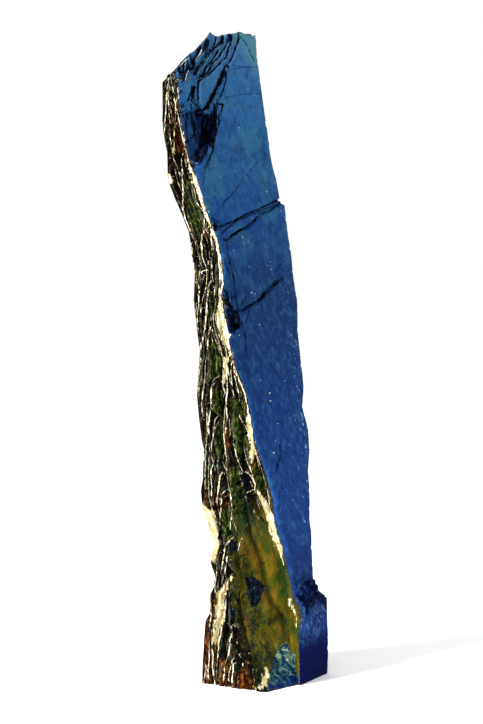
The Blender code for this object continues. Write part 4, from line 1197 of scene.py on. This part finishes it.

# %% [markdown]
# Knocks leave their mark as well. Short pale scuffs gather along the right edge, where the slab was
# handled and levered, and a few grains of quartz show as specks. Along the edge itself a thin dark
# line of painted shade shows where the face turns away.

# %% Scuffs, grains and the painted shade along the edge
scuff = noise(105.0, 3.0, (1.0, 1.0, 0.40), 41.0, 0.6, 0.6, 0.6)
by_edge = product(between(measure["margin"], 95.0, 8.0), between(place_z, 0.30, 0.50))
by_edge = product(by_edge, between(place_z, 1.30, 1.18))
scuffed = product(between(scuff, 0.615, 0.68), by_edge)
foot_scuff = noise(85.0, 4.0, (1.0, 1.0, 0.40), 44.0, 0.62, 0.8, 0.5)
foot_zone = product(between(place_z, 0.275, 0.245), between(place_z, 0.110, 0.175))
scuffed = most(scuffed, product(foot_zone, between(foot_scuff, 0.52, 0.70, 0.0, 0.45)))
blue = mixed(product(scuffed, 0.75), blue, "7FA3C8")
speck_zone = product(between(place_z, 0.42, 0.62), between(place_z, 1.90, 1.10, 0.25, 1.0))
specks = []
for size, chance, shift in ((60.0, 0.90, 0.0), (96.0, 0.93, 3.7)):
    moved = add("ShaderNodeMapping", {0: spot, 1: (shift, shift, shift), 3: (0.55, 1.0, 1.0)})
    cells = add("ShaderNodeTexVoronoi", {0: moved, "Scale": size}, 0)
    chosen = add("ShaderNodeSeparateColor", {0: cells.node.outputs[1]}, 0)
    specks.append(product(between(cells, 0.14, 0.10), maths("GREATER_THAN", chosen, chance)))
blue = mixed(product(most(*specks), speck_zone), blue, "C9CDB0")
line_noise = between(noise(40.0, 3.0, shift=51.0), 0.35, 0.65, 3.5, 8.0)
# Painted shade: a thin dark line along the right edge.
edge_shade_line = product(maths("LESS_THAN", measure["margin"], line_noise), between(place_z, 0.95, 1.05))
blue = mixed(product(edge_shade_line, 0.85), blue, "020A3A")
blue = mixed(product(tones, 0.55), blue, "0B2552")
# Painted shade behind each fallen layer.
painted_fall_shade = product(shaded, between(hand, 0.30, 0.62, 0.95, 0.60))
blue = mixed(painted_fall_shade, blue, mixed(0.93, blue, "01041C"))
print("scuffs and grains ready")

# %% [markdown]
# ### The hollow, the pocket and the ledge
# In the hollow under the falls the light hardly reaches, so its shade is painted in, and torn laminae
# stand in it like curtains. They are drawn as long upright streaks, nearly black where the hollow is
# deepest; the pocket is shaded the same way.

# %% Dark places
curtains = noise(75.0, 4.0, (1.0, 1.0, 0.14), 61.0, 0.68, 0.8, 0.25)
# Painted shade in the hollow and the pocket, streaked like curtains.
hollow_shade = mixed(between(curtains, 0.42, 0.58), "00010A", mixed(0.45, blue, "06153C"))
hollow_shade_depth = maths("ADD", measure["ground"], maths("MULTIPLY_ADD", curtains, 90.0, -43.0))
blue = mixed(between(hollow_shade_depth, -2.0, 8.0), blue, hollow_shade)
# Painted shade on the top of the foot's ledge: a dark navy band with paler chips.
ledge_noise = centred(noise(38.0, 4.0, shift=71.0), 46.0)
ledge_at = maths("ADD", measure["ledge"], ledge_noise)
ledge_shade = product(between(ledge_at, -66.0, -52.0), between(ledge_at, 14.0, 4.0))
ledge_chips = between(noise(70.0, 4.0, (1, 1, 0.8), 77.0, 0.7), 0.56, 0.68, 0.0, 0.55)
blue = mixed(product(ledge_shade, 0.95), blue, mixed(ledge_chips, "000528", "31508A"))
# Painted shade on the steep risers of the falls and the walls of the hollow, chosen by which way they face.
riser_shade = product(between(facing, -0.45, -0.80), between(facing, -1.01, -0.90, 0.6, 1.0))
riser_shade = product(riser_shade, between(curtains, 0.34, 0.48, 0.45, 1.0))
in_fall = product(most(between(place_z, 1.58, 1.62), between(measure["ground"], -10.0, -2.0)),
                  measure["front"])
blue = mixed(product(hair, 0.80), blue, "010830")
in_hollow = product(between(measure["ground"], -10.0, -2.0), between(curtains, 0.42, 0.56))
blue = mixed(product(riser_shade, in_fall), blue, mixed(in_hollow, "000106", "0C2450"))
blue = mixed(cracked, blue, "000106")
# Painted shade in the deep places, hung with dark streaks.
unlit = maths("ADD", measure["deep"], maths("MULTIPLY_ADD", curtains, 58.0, -27.0))
hung = noise(115.0, 3.0, (1.0, 1.0, 0.14), 63.0, 0.6, 1.0, -0.25)
blue = mixed(between(unlit, -3.0, 2.0), blue,
             mixed(between(hung, 0.53, 0.64, 0.0, 0.80), "000006", "0F2A60"))
blue = tinted(blue, place_z, 0.150, 0.095, 0.92, "00073A")
print("dark places ready")

# %% [markdown]
# ### The layered edge
# Each rim shows the same order from left to right: a black joint, which is partly painted shade, a
# thin pale crest that the weather has rubbed and the light strikes, so it is partly a painted
# highlight, and then the tread. Their widths are a few millimetres, so they are drawn from the rim's
# own place across the edge, which the mesh carries as a measure, and noise stretched along the layers
# breaks them up. Treads are mottled at the size of a fingertip, from nearly black through green and
# olive to rust. Thinner laminae inside a tread are the contour lines of a noise, each pale with a dark
# strip on one side, partly painted highlight and shade.
# On the right side the laminae break off more evenly, so their lines run longer there.

# %% Treads
fray = centred(noise(58.0, 5.0, (1.0, 1.0, 0.55), 95.0, 0.72), 56.0)
patch = {kind: between(maths("ADD", measure[kind], fray), -2.5, 2.5) for kind in kinds}
mottle = noise(110.0, 5.0, (1.0, 1.0, 0.45), 2.0, 0.72)
tread = ramp(mottle, [(0.38, "000000"), (0.48, "060702"), (0.54, "141508"), (0.60, "2E2C0E"),
                      (0.67, "5A4F22"), (0.78, "96834A")])
rust = between(noise(24.0, 3.0, (1.0, 1.0, 0.25), 9.0), 0.56, 0.68, 0.0, 0.85)
rusted = ramp(mottle, [(0.38, "020000"), (0.46, "220B01"), (0.52, "4E2103"), (0.59, "713C0A"),
                       (0.68, "B07E38")])
rust_worn = between(noise(42.0, 4.0, (1, 1, 0.4), 29.0, 0.65), 0.42, 0.56, 0.30, 1.0)
tread = mixed(product(most(rust, patch["rust"]), rust_worn), tread, rusted)
greened = ramp(mottle, [(0.37, "010200"), (0.46, "101C05"), (0.54, "2E3E0A"), (0.66, "6A7830")])
tread = mixed(product(patch["green"], 0.85), tread, greened)
teal = product(between(noise(36.0, 4.0, (1, 1, 0.35), 25.0, 0.65), 0.54, 0.66, 0.0, 0.75),
               between(place_z, 1.62, 1.45))
tread = mixed(teal, tread, ramp(mottle, [(0.40, "000304"), (0.52, "08201E"), (0.64, "2C5048")]))
print("treads ready")

# %% [markdown]
# The boldest rims follow courses of their own, so they are drawn from their points as the cracks are:
# pale in the middle, partly worn and partly a painted highlight, with a black band along both sides,
# partly joint and partly painted shade. One list holds them all, and the tracks sort them out, so a
# rim can be moved or added without touching anything else.

# %% Courses of the pale rims
# width, course as (place on the diagonal x - SKEW y, height); all in millimetres
RIM_LINES_MM = [
    (5.7, [(-509, 1818), (-503, 1835), (-501, 1853)]),
    (3.1, [(-446, 1790), (-457, 1825)]),
    (3.4, [(-526, 1690), (-518, 1738), (-513, 1795), (-509, 1818)]),
    (2.8, [(-498, 1700), (-499, 1760), (-506, 1815)]),
    (3.9, [(-475, 1683), (-473, 1703), (-468, 1725), (-466, 1775), (-461, 1792), (-452, 1805)]),
    (2.6, [(-441, 1765), (-447, 1795)]),
    (3.4, [(-435, 1575), (-434, 1593), (-440, 1610), (-436, 1625), (-425, 1640), (-420, 1655), (-426, 1693),
           (-427, 1713)]),
    (2.8, [(-448, 1573), (-482, 1627), (-490, 1653), (-493, 1675), (-499, 1695)]),
    (2.8, [(-473, 1630), (-475, 1653), (-474, 1675)]),
    (6.2, [(-314, 1475), (-321, 1492), (-342, 1528), (-376, 1570), (-381, 1588)]),
    (7.2, [(-424, 1440), (-436, 1475), (-436, 1498), (-432, 1538), (-434, 1558), (-432, 1583)]),
    (2.6, [(-366, 1495), (-369, 1518), (-377, 1538)]),
    (3.6, [(-328, 1407), (-323, 1448), (-328, 1465), (-360, 1492)]),
    (2.8, [(-284, 1333), (-291, 1405), (-296, 1427), (-298, 1450)]),
    (3.6, [(-369, 1343), (-374, 1367), (-383, 1385), (-399, 1403), (-411, 1423), (-424, 1440)]),
    (5.2, [(-340, 1330), (-338, 1350), (-341, 1373), (-339, 1393), (-328, 1407)]),
    (5.2, [(-390, 1338), (-398, 1370)]),
    (3.9, [(-251, 1220), (-247, 1242), (-244, 1288), (-249, 1310), (-252, 1335)]),
    (3.9, [(-371, 1232), (-355, 1268), (-351, 1290), (-351, 1333)]),
    (3.4, [(-381, 1270), (-382, 1292), (-389, 1310), (-394, 1330)]),
    (3.9, [(-317, 1298), (-339, 1330)]),
    (2.8, [(-271, 1215), (-285, 1280), (-288, 1302), (-288, 1328)]),
    (3.9, [(-347, 1282), (-330, 1288), (-314, 1290)]),
    (3.6, [(-346, 1160), (-344, 1183), (-320, 1238), (-312, 1272)]),
    (4.9, [(-350, 1045), (-332, 1093), (-325, 1117), (-306, 1238), (-300, 1252), (-286, 1260)]),
    (2.8, [(-363, 1117), (-366, 1137), (-364, 1160), (-359, 1183), (-355, 1225), (-356, 1245)]),
    (2.6, [(-390, 1140), (-379, 1153), (-371, 1173), (-371, 1190)]),
    (5.2, [(-227, 1028), (-259, 1088), (-271, 1107), (-278, 1125), (-281, 1145), (-277, 1165)]),
    (2.6, [(-367, 1068), (-375, 1093), (-378, 1115), (-386, 1137)]),
    (4.6, [(-340, 835), (-344, 885), (-335, 927), (-328, 950), (-325, 975), (-325, 998), (-313, 1048),
           (-305, 1097), (-298, 1117), (-287, 1127)]),
    (5.2, [(-223, 1012), (-231, 1030), (-263, 1083)]),
    (4.6, [(-204, 835), (-210, 853), (-213, 875), (-213, 900), (-207, 922), (-209, 970), (-206, 995),
           (-208, 1020), (-211, 1042), (-218, 1062), (-229, 1080)]),
    (3.9, [(-173, 907), (-185, 955), (-190, 1000), (-182, 1018), (-176, 1038), (-178, 1058), (-186, 1075)]),
    (5.7, [(-372, 902), (-365, 925), (-358, 970), (-356, 1018), (-349, 1068)]),
    (3.4, [(-382, 955), (-379, 978), (-373, 1000), (-377, 1020)]),
    (3.4, [(-148, 920), (-162, 953), (-169, 975), (-172, 998), (-179, 1018)]),
    (5.7, [(-218, 912), (-233, 943), (-229, 990), (-224, 1015)]),
    (3.9, [(-275, 960), (-259, 965)]),
    (4.6, [(-309, 787), (-307, 818), (-295, 885), (-294, 932), (-288, 948), (-275, 960)]),
    (2.8, [(-98, 868), (-108, 902)]),
    (3.1, [(-234, 698), (-229, 715), (-218, 735), (-228, 785), (-230, 810), (-224, 835), (-217, 883)]),
    (4.4, [(-87, 763), (-94, 785), (-104, 802), (-114, 815), (-130, 828), (-142, 843), (-147, 858)]),
    (4.1, [(-324, 613), (-330, 640), (-330, 662), (-327, 688), (-327, 715), (-317, 775), (-315, 802),
           (-319, 858)]),
    (3.4, [(-349, 745), (-353, 770), (-353, 823), (-361, 838), (-375, 850)]),
    (5.2, [(-296, 728), (-293, 750), (-286, 775), (-278, 820), (-270, 835), (-255, 843)]),
    (2.1, [(-192, 785), (-198, 838)]),
    (3.4, [(-127, 672), (-150, 705), (-162, 728), (-172, 750), (-179, 772)]),
    (3.4, [(-292, 552), (-302, 575), (-309, 598), (-310, 672), (-306, 723), (-300, 750)]),
    (3.4, [(-107, 710), (-115, 733), (-116, 750)]),
    (3.9, [(-297, 588), (-293, 608), (-292, 630), (-297, 655), (-294, 677), (-282, 693), (-290, 708),
           (-296, 728)]),
    (2.6, [(-35, 677), (-43, 693), (-48, 713)]),
    (4.1, [(-72, 657), (-82, 675), (-105, 705)]),
    (3.4, [(-193, 487), (-193, 510), (-187, 530), (-184, 550), (-190, 598), (-201, 620), (-211, 662),
           (-234, 698)]),
    (5.7, [(37, 588), (27, 610), (15, 630), (6, 655), (-4, 675)]),
    (5.2, [(-264, 570), (-262, 595), (-253, 638), (-247, 657), (-232, 672)]),
    (6.7, [(-60, 618), (-62, 633), (-71, 647), (-89, 662), (-109, 670)]),
    (4.6, [(-249, 497), (-248, 527), (-237, 600), (-223, 610), (-206, 615)]),
    (5.2, [(-104, 605), (-59, 615)]),
    (2.8, [(-160, 482), (-180, 527)]),
    (6.2, [(-241, 350), (-236, 378), (-224, 422), (-211, 440), (-193, 453), (-176, 460)]),
    (3.4, [(-151, 415), (-140, 450), (-127, 460)]),
    (3.6, [(-236, 320), (-224, 345), (-209, 398)]),
    (3.4, [(-276, 278), (-280, 297), (-272, 325), (-266, 357), (-274, 383)]),
    (4.6, [(-263, 80), (-254, 138), (-218, 247), (-217, 297)]),
    (4.6, [(-307, 177), (-299, 205), (-299, 230), (-303, 258)]),
    (4.9, [(-275, 0), (-291, 58), (-286, 88), (-294, 118), (-283, 177)]),
    (4.9, [(-233, 13), (-223, 65), (-210, 88), (-201, 110), (-194, 155), (-180, 170)]),
    (3.9, [(-313, 15), (-314, 45), (-307, 77), (-308, 107), (-306, 140)]),
    (4.4, [(196, 72), (190, 118)]),
    (4.6, [(-203, 18), (-200, 43), (-184, 85), (-173, 95)]),
    (3.4, [(-265, 13), (-269, 40), (-261, 90)]),
    (3.9, [(-184, 7), (-183, 35), (-178, 58), (-179, 77)]),
    (4.1, [(-340, 0), (-334, 22), (-324, 48), (-333, 70)]),
]
# the same for the pale rims of the topmost fallen layers, partly worn and partly a painted highlight
FACE_RIMS_MM = [
    (4.4, [(-368, 1901), (-365, 1911), (-353, 1920), (-342, 1930), (-338, 1939), (-333, 1949)]),
    (2.6, [(-416, 1843), (-411, 1855), (-405, 1866), (-400, 1875)]),
    (2.6, [(-421, 1874), (-419, 1883), (-417, 1895), (-416, 1903), (-402, 1911)]),
    (2.8, [(-440, 1888), (-430, 1897), (-418, 1905), (-397, 1913)]),
]
edge_rims, face_rims = [[(width / 2000, metres(line)) for width, line in drawn]
                        for drawn in (RIM_LINES_MM, FACE_RIMS_MM)]
print(len(edge_rims), "rims on the edge and", len(face_rims), "on the fallen layers")

# %% Draw the pale rims
SPLIT_Z = 0.95
edge_s = maths("ADD", diagonal, centred(noise(105.0, 5.0, shift=23.0), 0.0120))
rim_change = between(noise(45.0, 3.0, shift=35.0), 0.36, 0.64, 0.55, 1.35)
brink_noise = centred(noise(150.0, 4.0, (1.0, 1.0, 0.35), 37.0, 0.6), 4.6)
rim_pale, rim_dark = maths("LESS_THAN", maths("ADD", measure["brink"], brink_noise), 1.0), 0.0
for upper in (False, True):
    chosen = [(half, line) for half, line in edge_rims
              if (line[0][1] + line[-1][1] > 2 * SPLIT_Z) == upper]
    for track in tracks(chosen, 1):
        apart, half = follow(track, 1, line_z, edge_s, 0.04, 0.57)
        apart, half = maths("ABSOLUTE", apart), product(half, product(rim_change, WIDEST))
        rim_pale = most(maths("LESS_THAN", apart, half), rim_pale)
        rim_dark = most(maths("LESS_THAN", apart, product(half, 2.4)), rim_dark)
rim_pale, rim_dark = product(rim_pale, measure["left"]), product(rim_dark, measure["left"])
# Pale rims of the fallen layers, partly a painted highlight.
pale_rims_and_highlight = 0.0
for track in tracks(face_rims, 1):
    apart, half = follow(track, 1, line_z, edge_s, 0.10, 0.57)
    pale_rims_and_highlight = most(maths("COMPARE", apart, 0.0, product(half, product(rim_change, WIDEST))), pale_rims_and_highlight)
print("rims drawn,", len(tree.nodes), "nodes so far")

# %% Crests and joints between laminae
CREST_HIGHLIGHT = 0.04
jag = centred(noise(70.0, 4.0, (1.0, 1.0, 0.40), 12.0, 0.70), 0.30)
jag = product(jag, maths("MULTIPLY_ADD", measure["left"], 0.8, 0.2))
layer_here = maths("ADD", measure["layer"], jag)
past = product(maths("FRACT", layer_here), measure["wide"])
ahead = maths("SUBTRACT", measure["wide"], past)
crest_width = between(noise(40.0, 4.0, (1.0, 1.0, 0.5), 14.0, 0.7), 0.52, 0.70, 0.0, 2.2)
joint_width = between(noise(34.0, 3.0, (1.0, 1.0, 0.4), 19.0, 0.6), 0.40, 0.62, 0.0, 6.0)
on_crest = maths("LESS_THAN", past, crest_width)
in_joint = maths("LESS_THAN", ahead, joint_width)
laid = add("ShaderNodeCombineXYZ", {0: product(measure["layer"], 2.1), 1: product(place_z, 11.0),
                                    2: 0.37})
strands = add("ShaderNodeTexNoise", {0: laid, "Scale": 1.0, "Detail": 3.5, "Roughness": 0.62,
                                     "Distortion": 0.25})
off_strand = maths("ABSOLUTE", maths("SUBTRACT", strands, 0.50))
strand_width = between(noise(55.0, 2.0, shift=16.0), 0.52, 0.68, 0.0, 0.007)
on_strand = maths("LESS_THAN", off_strand, strand_width)
by_strand = product(maths("LESS_THAN", off_strand, 0.065), maths("LESS_THAN", strands, 0.50))
plain = maths("SUBTRACT", 1.0, most(measure["flake"], product(patch["green"], 0.8),
                                    product(patch["rust"], 0.8)))
# The chalk tone serves worn crests and their painted highlight.
chalk_and_highlight = ramp(noise(125.0, 4.0, (1, 1, 0.40), 6.0, 0.7), [(0.40, "2E2A18"), (0.46, "B8A878"),
                                                         (0.52, "F2E8C4"), (0.66, "FFFFF4")])
# Painted highlight on crests that face the light.
painted_crest_highlight = product(between(facing, -0.35, -0.85), between(measure["crest"], 0.15, 0.60), CREST_HIGHLIGHT)
off_flake = maths("SUBTRACT", 1.0, measure["flake"])
# Pale of crests, rims and strands: partly worn stone, partly a painted highlight.
pale = most(rim_pale, product(on_crest, plain, off_flake), product(on_strand, plain),
            product(painted_crest_highlight, off_flake))
# Dark of joints, clefts, rim sides and strand sides: partly the joints' own dark, partly painted shade.
dark = most(rim_dark, product(in_joint, off_flake), product(by_strand, plain),
            product(between(measure["cleft"], 0.35, 0.85), off_flake))
print("crests and joints ready")

# %% [markdown]
# The lowest flake is smoother. Water runs over it, so it carries an ochre and green skin, with a
# darker, rougher part on the left and a fresh blue-green break near the ground.

# %% Lowest flake and patches
ochre = noise(30.0, 5.0, (1, 1, 0.6), 4.0, 0.65)
flake_tone = ramp(ochre, [(0.30, "0C1004"), (0.42, "2A2C06"), (0.52, "454206"), (0.62, "5A5010"),
                          (0.76, "7A6C34")])
run_down = noise(48.0, 3.0, (1.0, 1.0, 0.15), 81.0, 0.6)
flake_tone = tinted(flake_tone, run_down, 0.50, 0.66, 0.55, "2A3B22")
flake_tone = tinted(flake_tone, noise(20.0, 3.0, (1, 1, 0.5), 83.0), 0.56, 0.66, 0.5, "5E3A0C")
gold = ramp(noise(15.0, 5.0, (1, 1, 0.45), 87.0, 0.68),
            [(0.36, "1A3010"), (0.44, "363E0A"), (0.51, "504806"), (0.58, "665008"), (0.65, "745E12"),
             (0.76, "8C8236")])
upper_green = product(between(place_z, 0.34, 0.52, 0.0, 0.8),
                      between(noise(22.0, 4.0, (1, 1, 0.3), 91.0, 0.65), 0.44, 0.56))
on_gold = between(maths("ADD", measure["valley"], centred(ochre, 0.3)), -0.02, 0.08)
flake_tone = mixed(on_gold, flake_tone, gold)
veins = noise(28.0, 4.0, (1, 1, 0.3), 92.0, 0.65)
flake_tone = tinted(flake_tone, veins, 0.55, 0.66, 0.42, "784C12")
flake_tone = mixed(upper_green, flake_tone, "1E3C1C")
flake_tone = tinted(flake_tone, mottle, 0.60, 0.72, 0.35, "8E8236")
# Painted shade along the crease of the valley.
flake_tone = mixed(product(measure["crease"], 0.75), flake_tone, "0E1404")
pits = noise(85.0, 5.0, (1.0, 1.0, 0.6), 88.0, 0.7, 0.8)
pits = maths("MULTIPLY_ADD", measure["valley"], -0.13, pits)
flake_tone = tinted(flake_tone, pits, 0.57, 0.63, 0.85, "0A1A1C")
tread = mixed(measure["flake"], tread, flake_tone)
fresh_tone = ramp(noise(72.0, 5.0, (1.0, 1.0, 0.32), 8.0, 0.74, 0.6, 0.9),
                  [(0.38, "00060F"), (0.46, "08243E"), (0.53, "225460"), (0.57, "566438"),
                   (0.63, "86A094"), (0.72, "C0C49C")])
fresh_tone = tinted(fresh_tone, place_z, 0.040, 0.012, 0.60, "0A2460")
tread = mixed(patch["fresh"], tread, fresh_tone)
# Dark patches: partly dark stone, partly painted shade in hollows and beside rims.
dark_tone = ramp(mottle, [(0.42, "000103"), (0.52, "050C16"), (0.62, "16242E"), (0.74, "5A6660")])
tread = mixed(patch["dark"], tread, dark_tone)
# Black patches, nearly black with a little brown.
black_patch_tone = ramp(mottle, [(0.46, "000000"), (0.60, "1A0A04"), (0.74, "5A3A20")])
tread = mixed(product(patch["black"], 0.9), tread, black_patch_tone)
# Cream patches: partly worn pale stone, partly a painted highlight where the edge faces the light.
cream = product(patch["cream"], between(mottle, 0.36, 0.44, 0.25, 1.0))
cream_tone = ramp(noise(45.0, 4.0, (1, 1, 0.5), 86.0, 0.6), [(0.35, "B8A26A"), (0.55, "E2D3A4"),
                                                            (0.70, "F2EAD2")])
on_right = product(maths("SUBTRACT", 1.0, measure["left"]), 0.35)
edge_tone = mixed(on_right, mixed(cream, tread, cream_tone), "4A4A38")
# Black of joints and painted shade, then the pale crests with their painted highlight.
edge_tone = mixed(product(dark, maths("SUBTRACT", 1.0, product(cream, 0.8))), edge_tone, "010100")
edge_tone = mixed(pale, edge_tone, chalk_and_highlight)
print("layered edge ready")

# %% Put the material together
colour = mixed(between(measure["edge"], 0.42, 0.58), blue, edge_tone)
# Pale rims of the fallen layers, partly a painted highlight.
colour = mixed(product(pale_rims_and_highlight, measure["front"]), colour, "BCC8CE")
tree.links.new(colour, shader.inputs["Base Color"])
shader.inputs["Roughness"].default_value = 0.72
shader.inputs["IOR"].default_value = 1.55
shader.inputs["Specular IOR Level"].default_value = 0.03
grit = product(noise(180.0, 4.0, (1, 1, 0.4), 91.0, 0.6), 0.25)
bump_height = maths("ADD", product(mottle, measure["edge"]), grit)
bump = add("ShaderNodeBump", {"Strength": 0.35, "Distance": 0.002, "Height": bump_height})
tree.links.new(bump, shader.inputs["Normal"])
skin.materials.clear()
skin.materials.append(stone)
print("material:", len(tree.nodes), "nodes")

# %% [markdown]
# ## Floor, light and camera
# A product photographer would stand the slab on white paper, with one strong light from the left and
# a little behind. That light skims the broad face and strikes the rims of the laminae, so the edge
# reads as a stack. White surroundings fill in the rest.

# %% Floor
bpy.ops.mesh.primitive_plane_add(size=40.0, location=(0.0, 0.0, 0.0))
floor = bpy.context.object
floor.name = "floor"
paper = bpy.data.materials.new("white_paper")
paper.use_nodes = True
paper.node_tree.nodes["Principled BSDF"].inputs["Base Color"].default_value = (1.0, 1.0, 1.0, 1)
paper.node_tree.nodes["Principled BSDF"].inputs["Roughness"].default_value = 0.9
floor.data.materials.append(paper)
print("floor", floor.dimensions.x, "m wide")

# %% Light
world = bpy.data.worlds.new("studio")
bpy.context.scene.world = world
world.use_nodes = True
world.node_tree.nodes["Background"].inputs["Color"].default_value = (1.0, 1.0, 1.0, 1.0)
world.node_tree.nodes["Background"].inputs["Strength"].default_value = 1.0
lamp = bpy.data.lights.new("window", "AREA")
lamp.energy = 420.0
lamp.size = 1.2
key = bpy.data.objects.new("window", lamp)
bpy.context.scene.collection.objects.link(key)
key.location = (-3.6, 1.9, 3.2)
key.rotation_euler = (Vector((0.0, 0.0, 0.9)) - key.location).to_track_quat("-Z", "Y").to_euler()
print("light placed at", tuple(round(value, 2) for value in key.location))

# %% Camera
FOCAL_PIXELS, FRAME_PIXELS = 1730.0, 724.0
EYE_HEIGHT, STAND_OFF = 1.6, 5.2
angle = math.radians(-55.0)
aim = Vector((0.01 - CENTRE_X, 0.10 - CENTRE_Y, 1.01))
back = Vector((math.sin(angle), -math.cos(angle), 0.0))
lens = bpy.data.cameras.new("camera")
lens.sensor_fit = "VERTICAL"
lens.sensor_height = 36.0
lens.lens = FOCAL_PIXELS / FRAME_PIXELS * lens.sensor_height
camera = bpy.data.objects.new("camera", lens)
bpy.context.scene.collection.objects.link(camera)
eye = aim + back * STAND_OFF
eye.z = EYE_HEIGHT
camera.location = eye
camera.rotation_euler = (aim - eye).to_track_quat("-Z", "Y").to_euler()
bpy.context.scene.camera = camera
print("camera at", tuple(round(value, 2) for value in eye), "with a lens of", round(lens.lens, 1), "mm")
bpy.context.scene.view_settings.view_transform = "Standard"
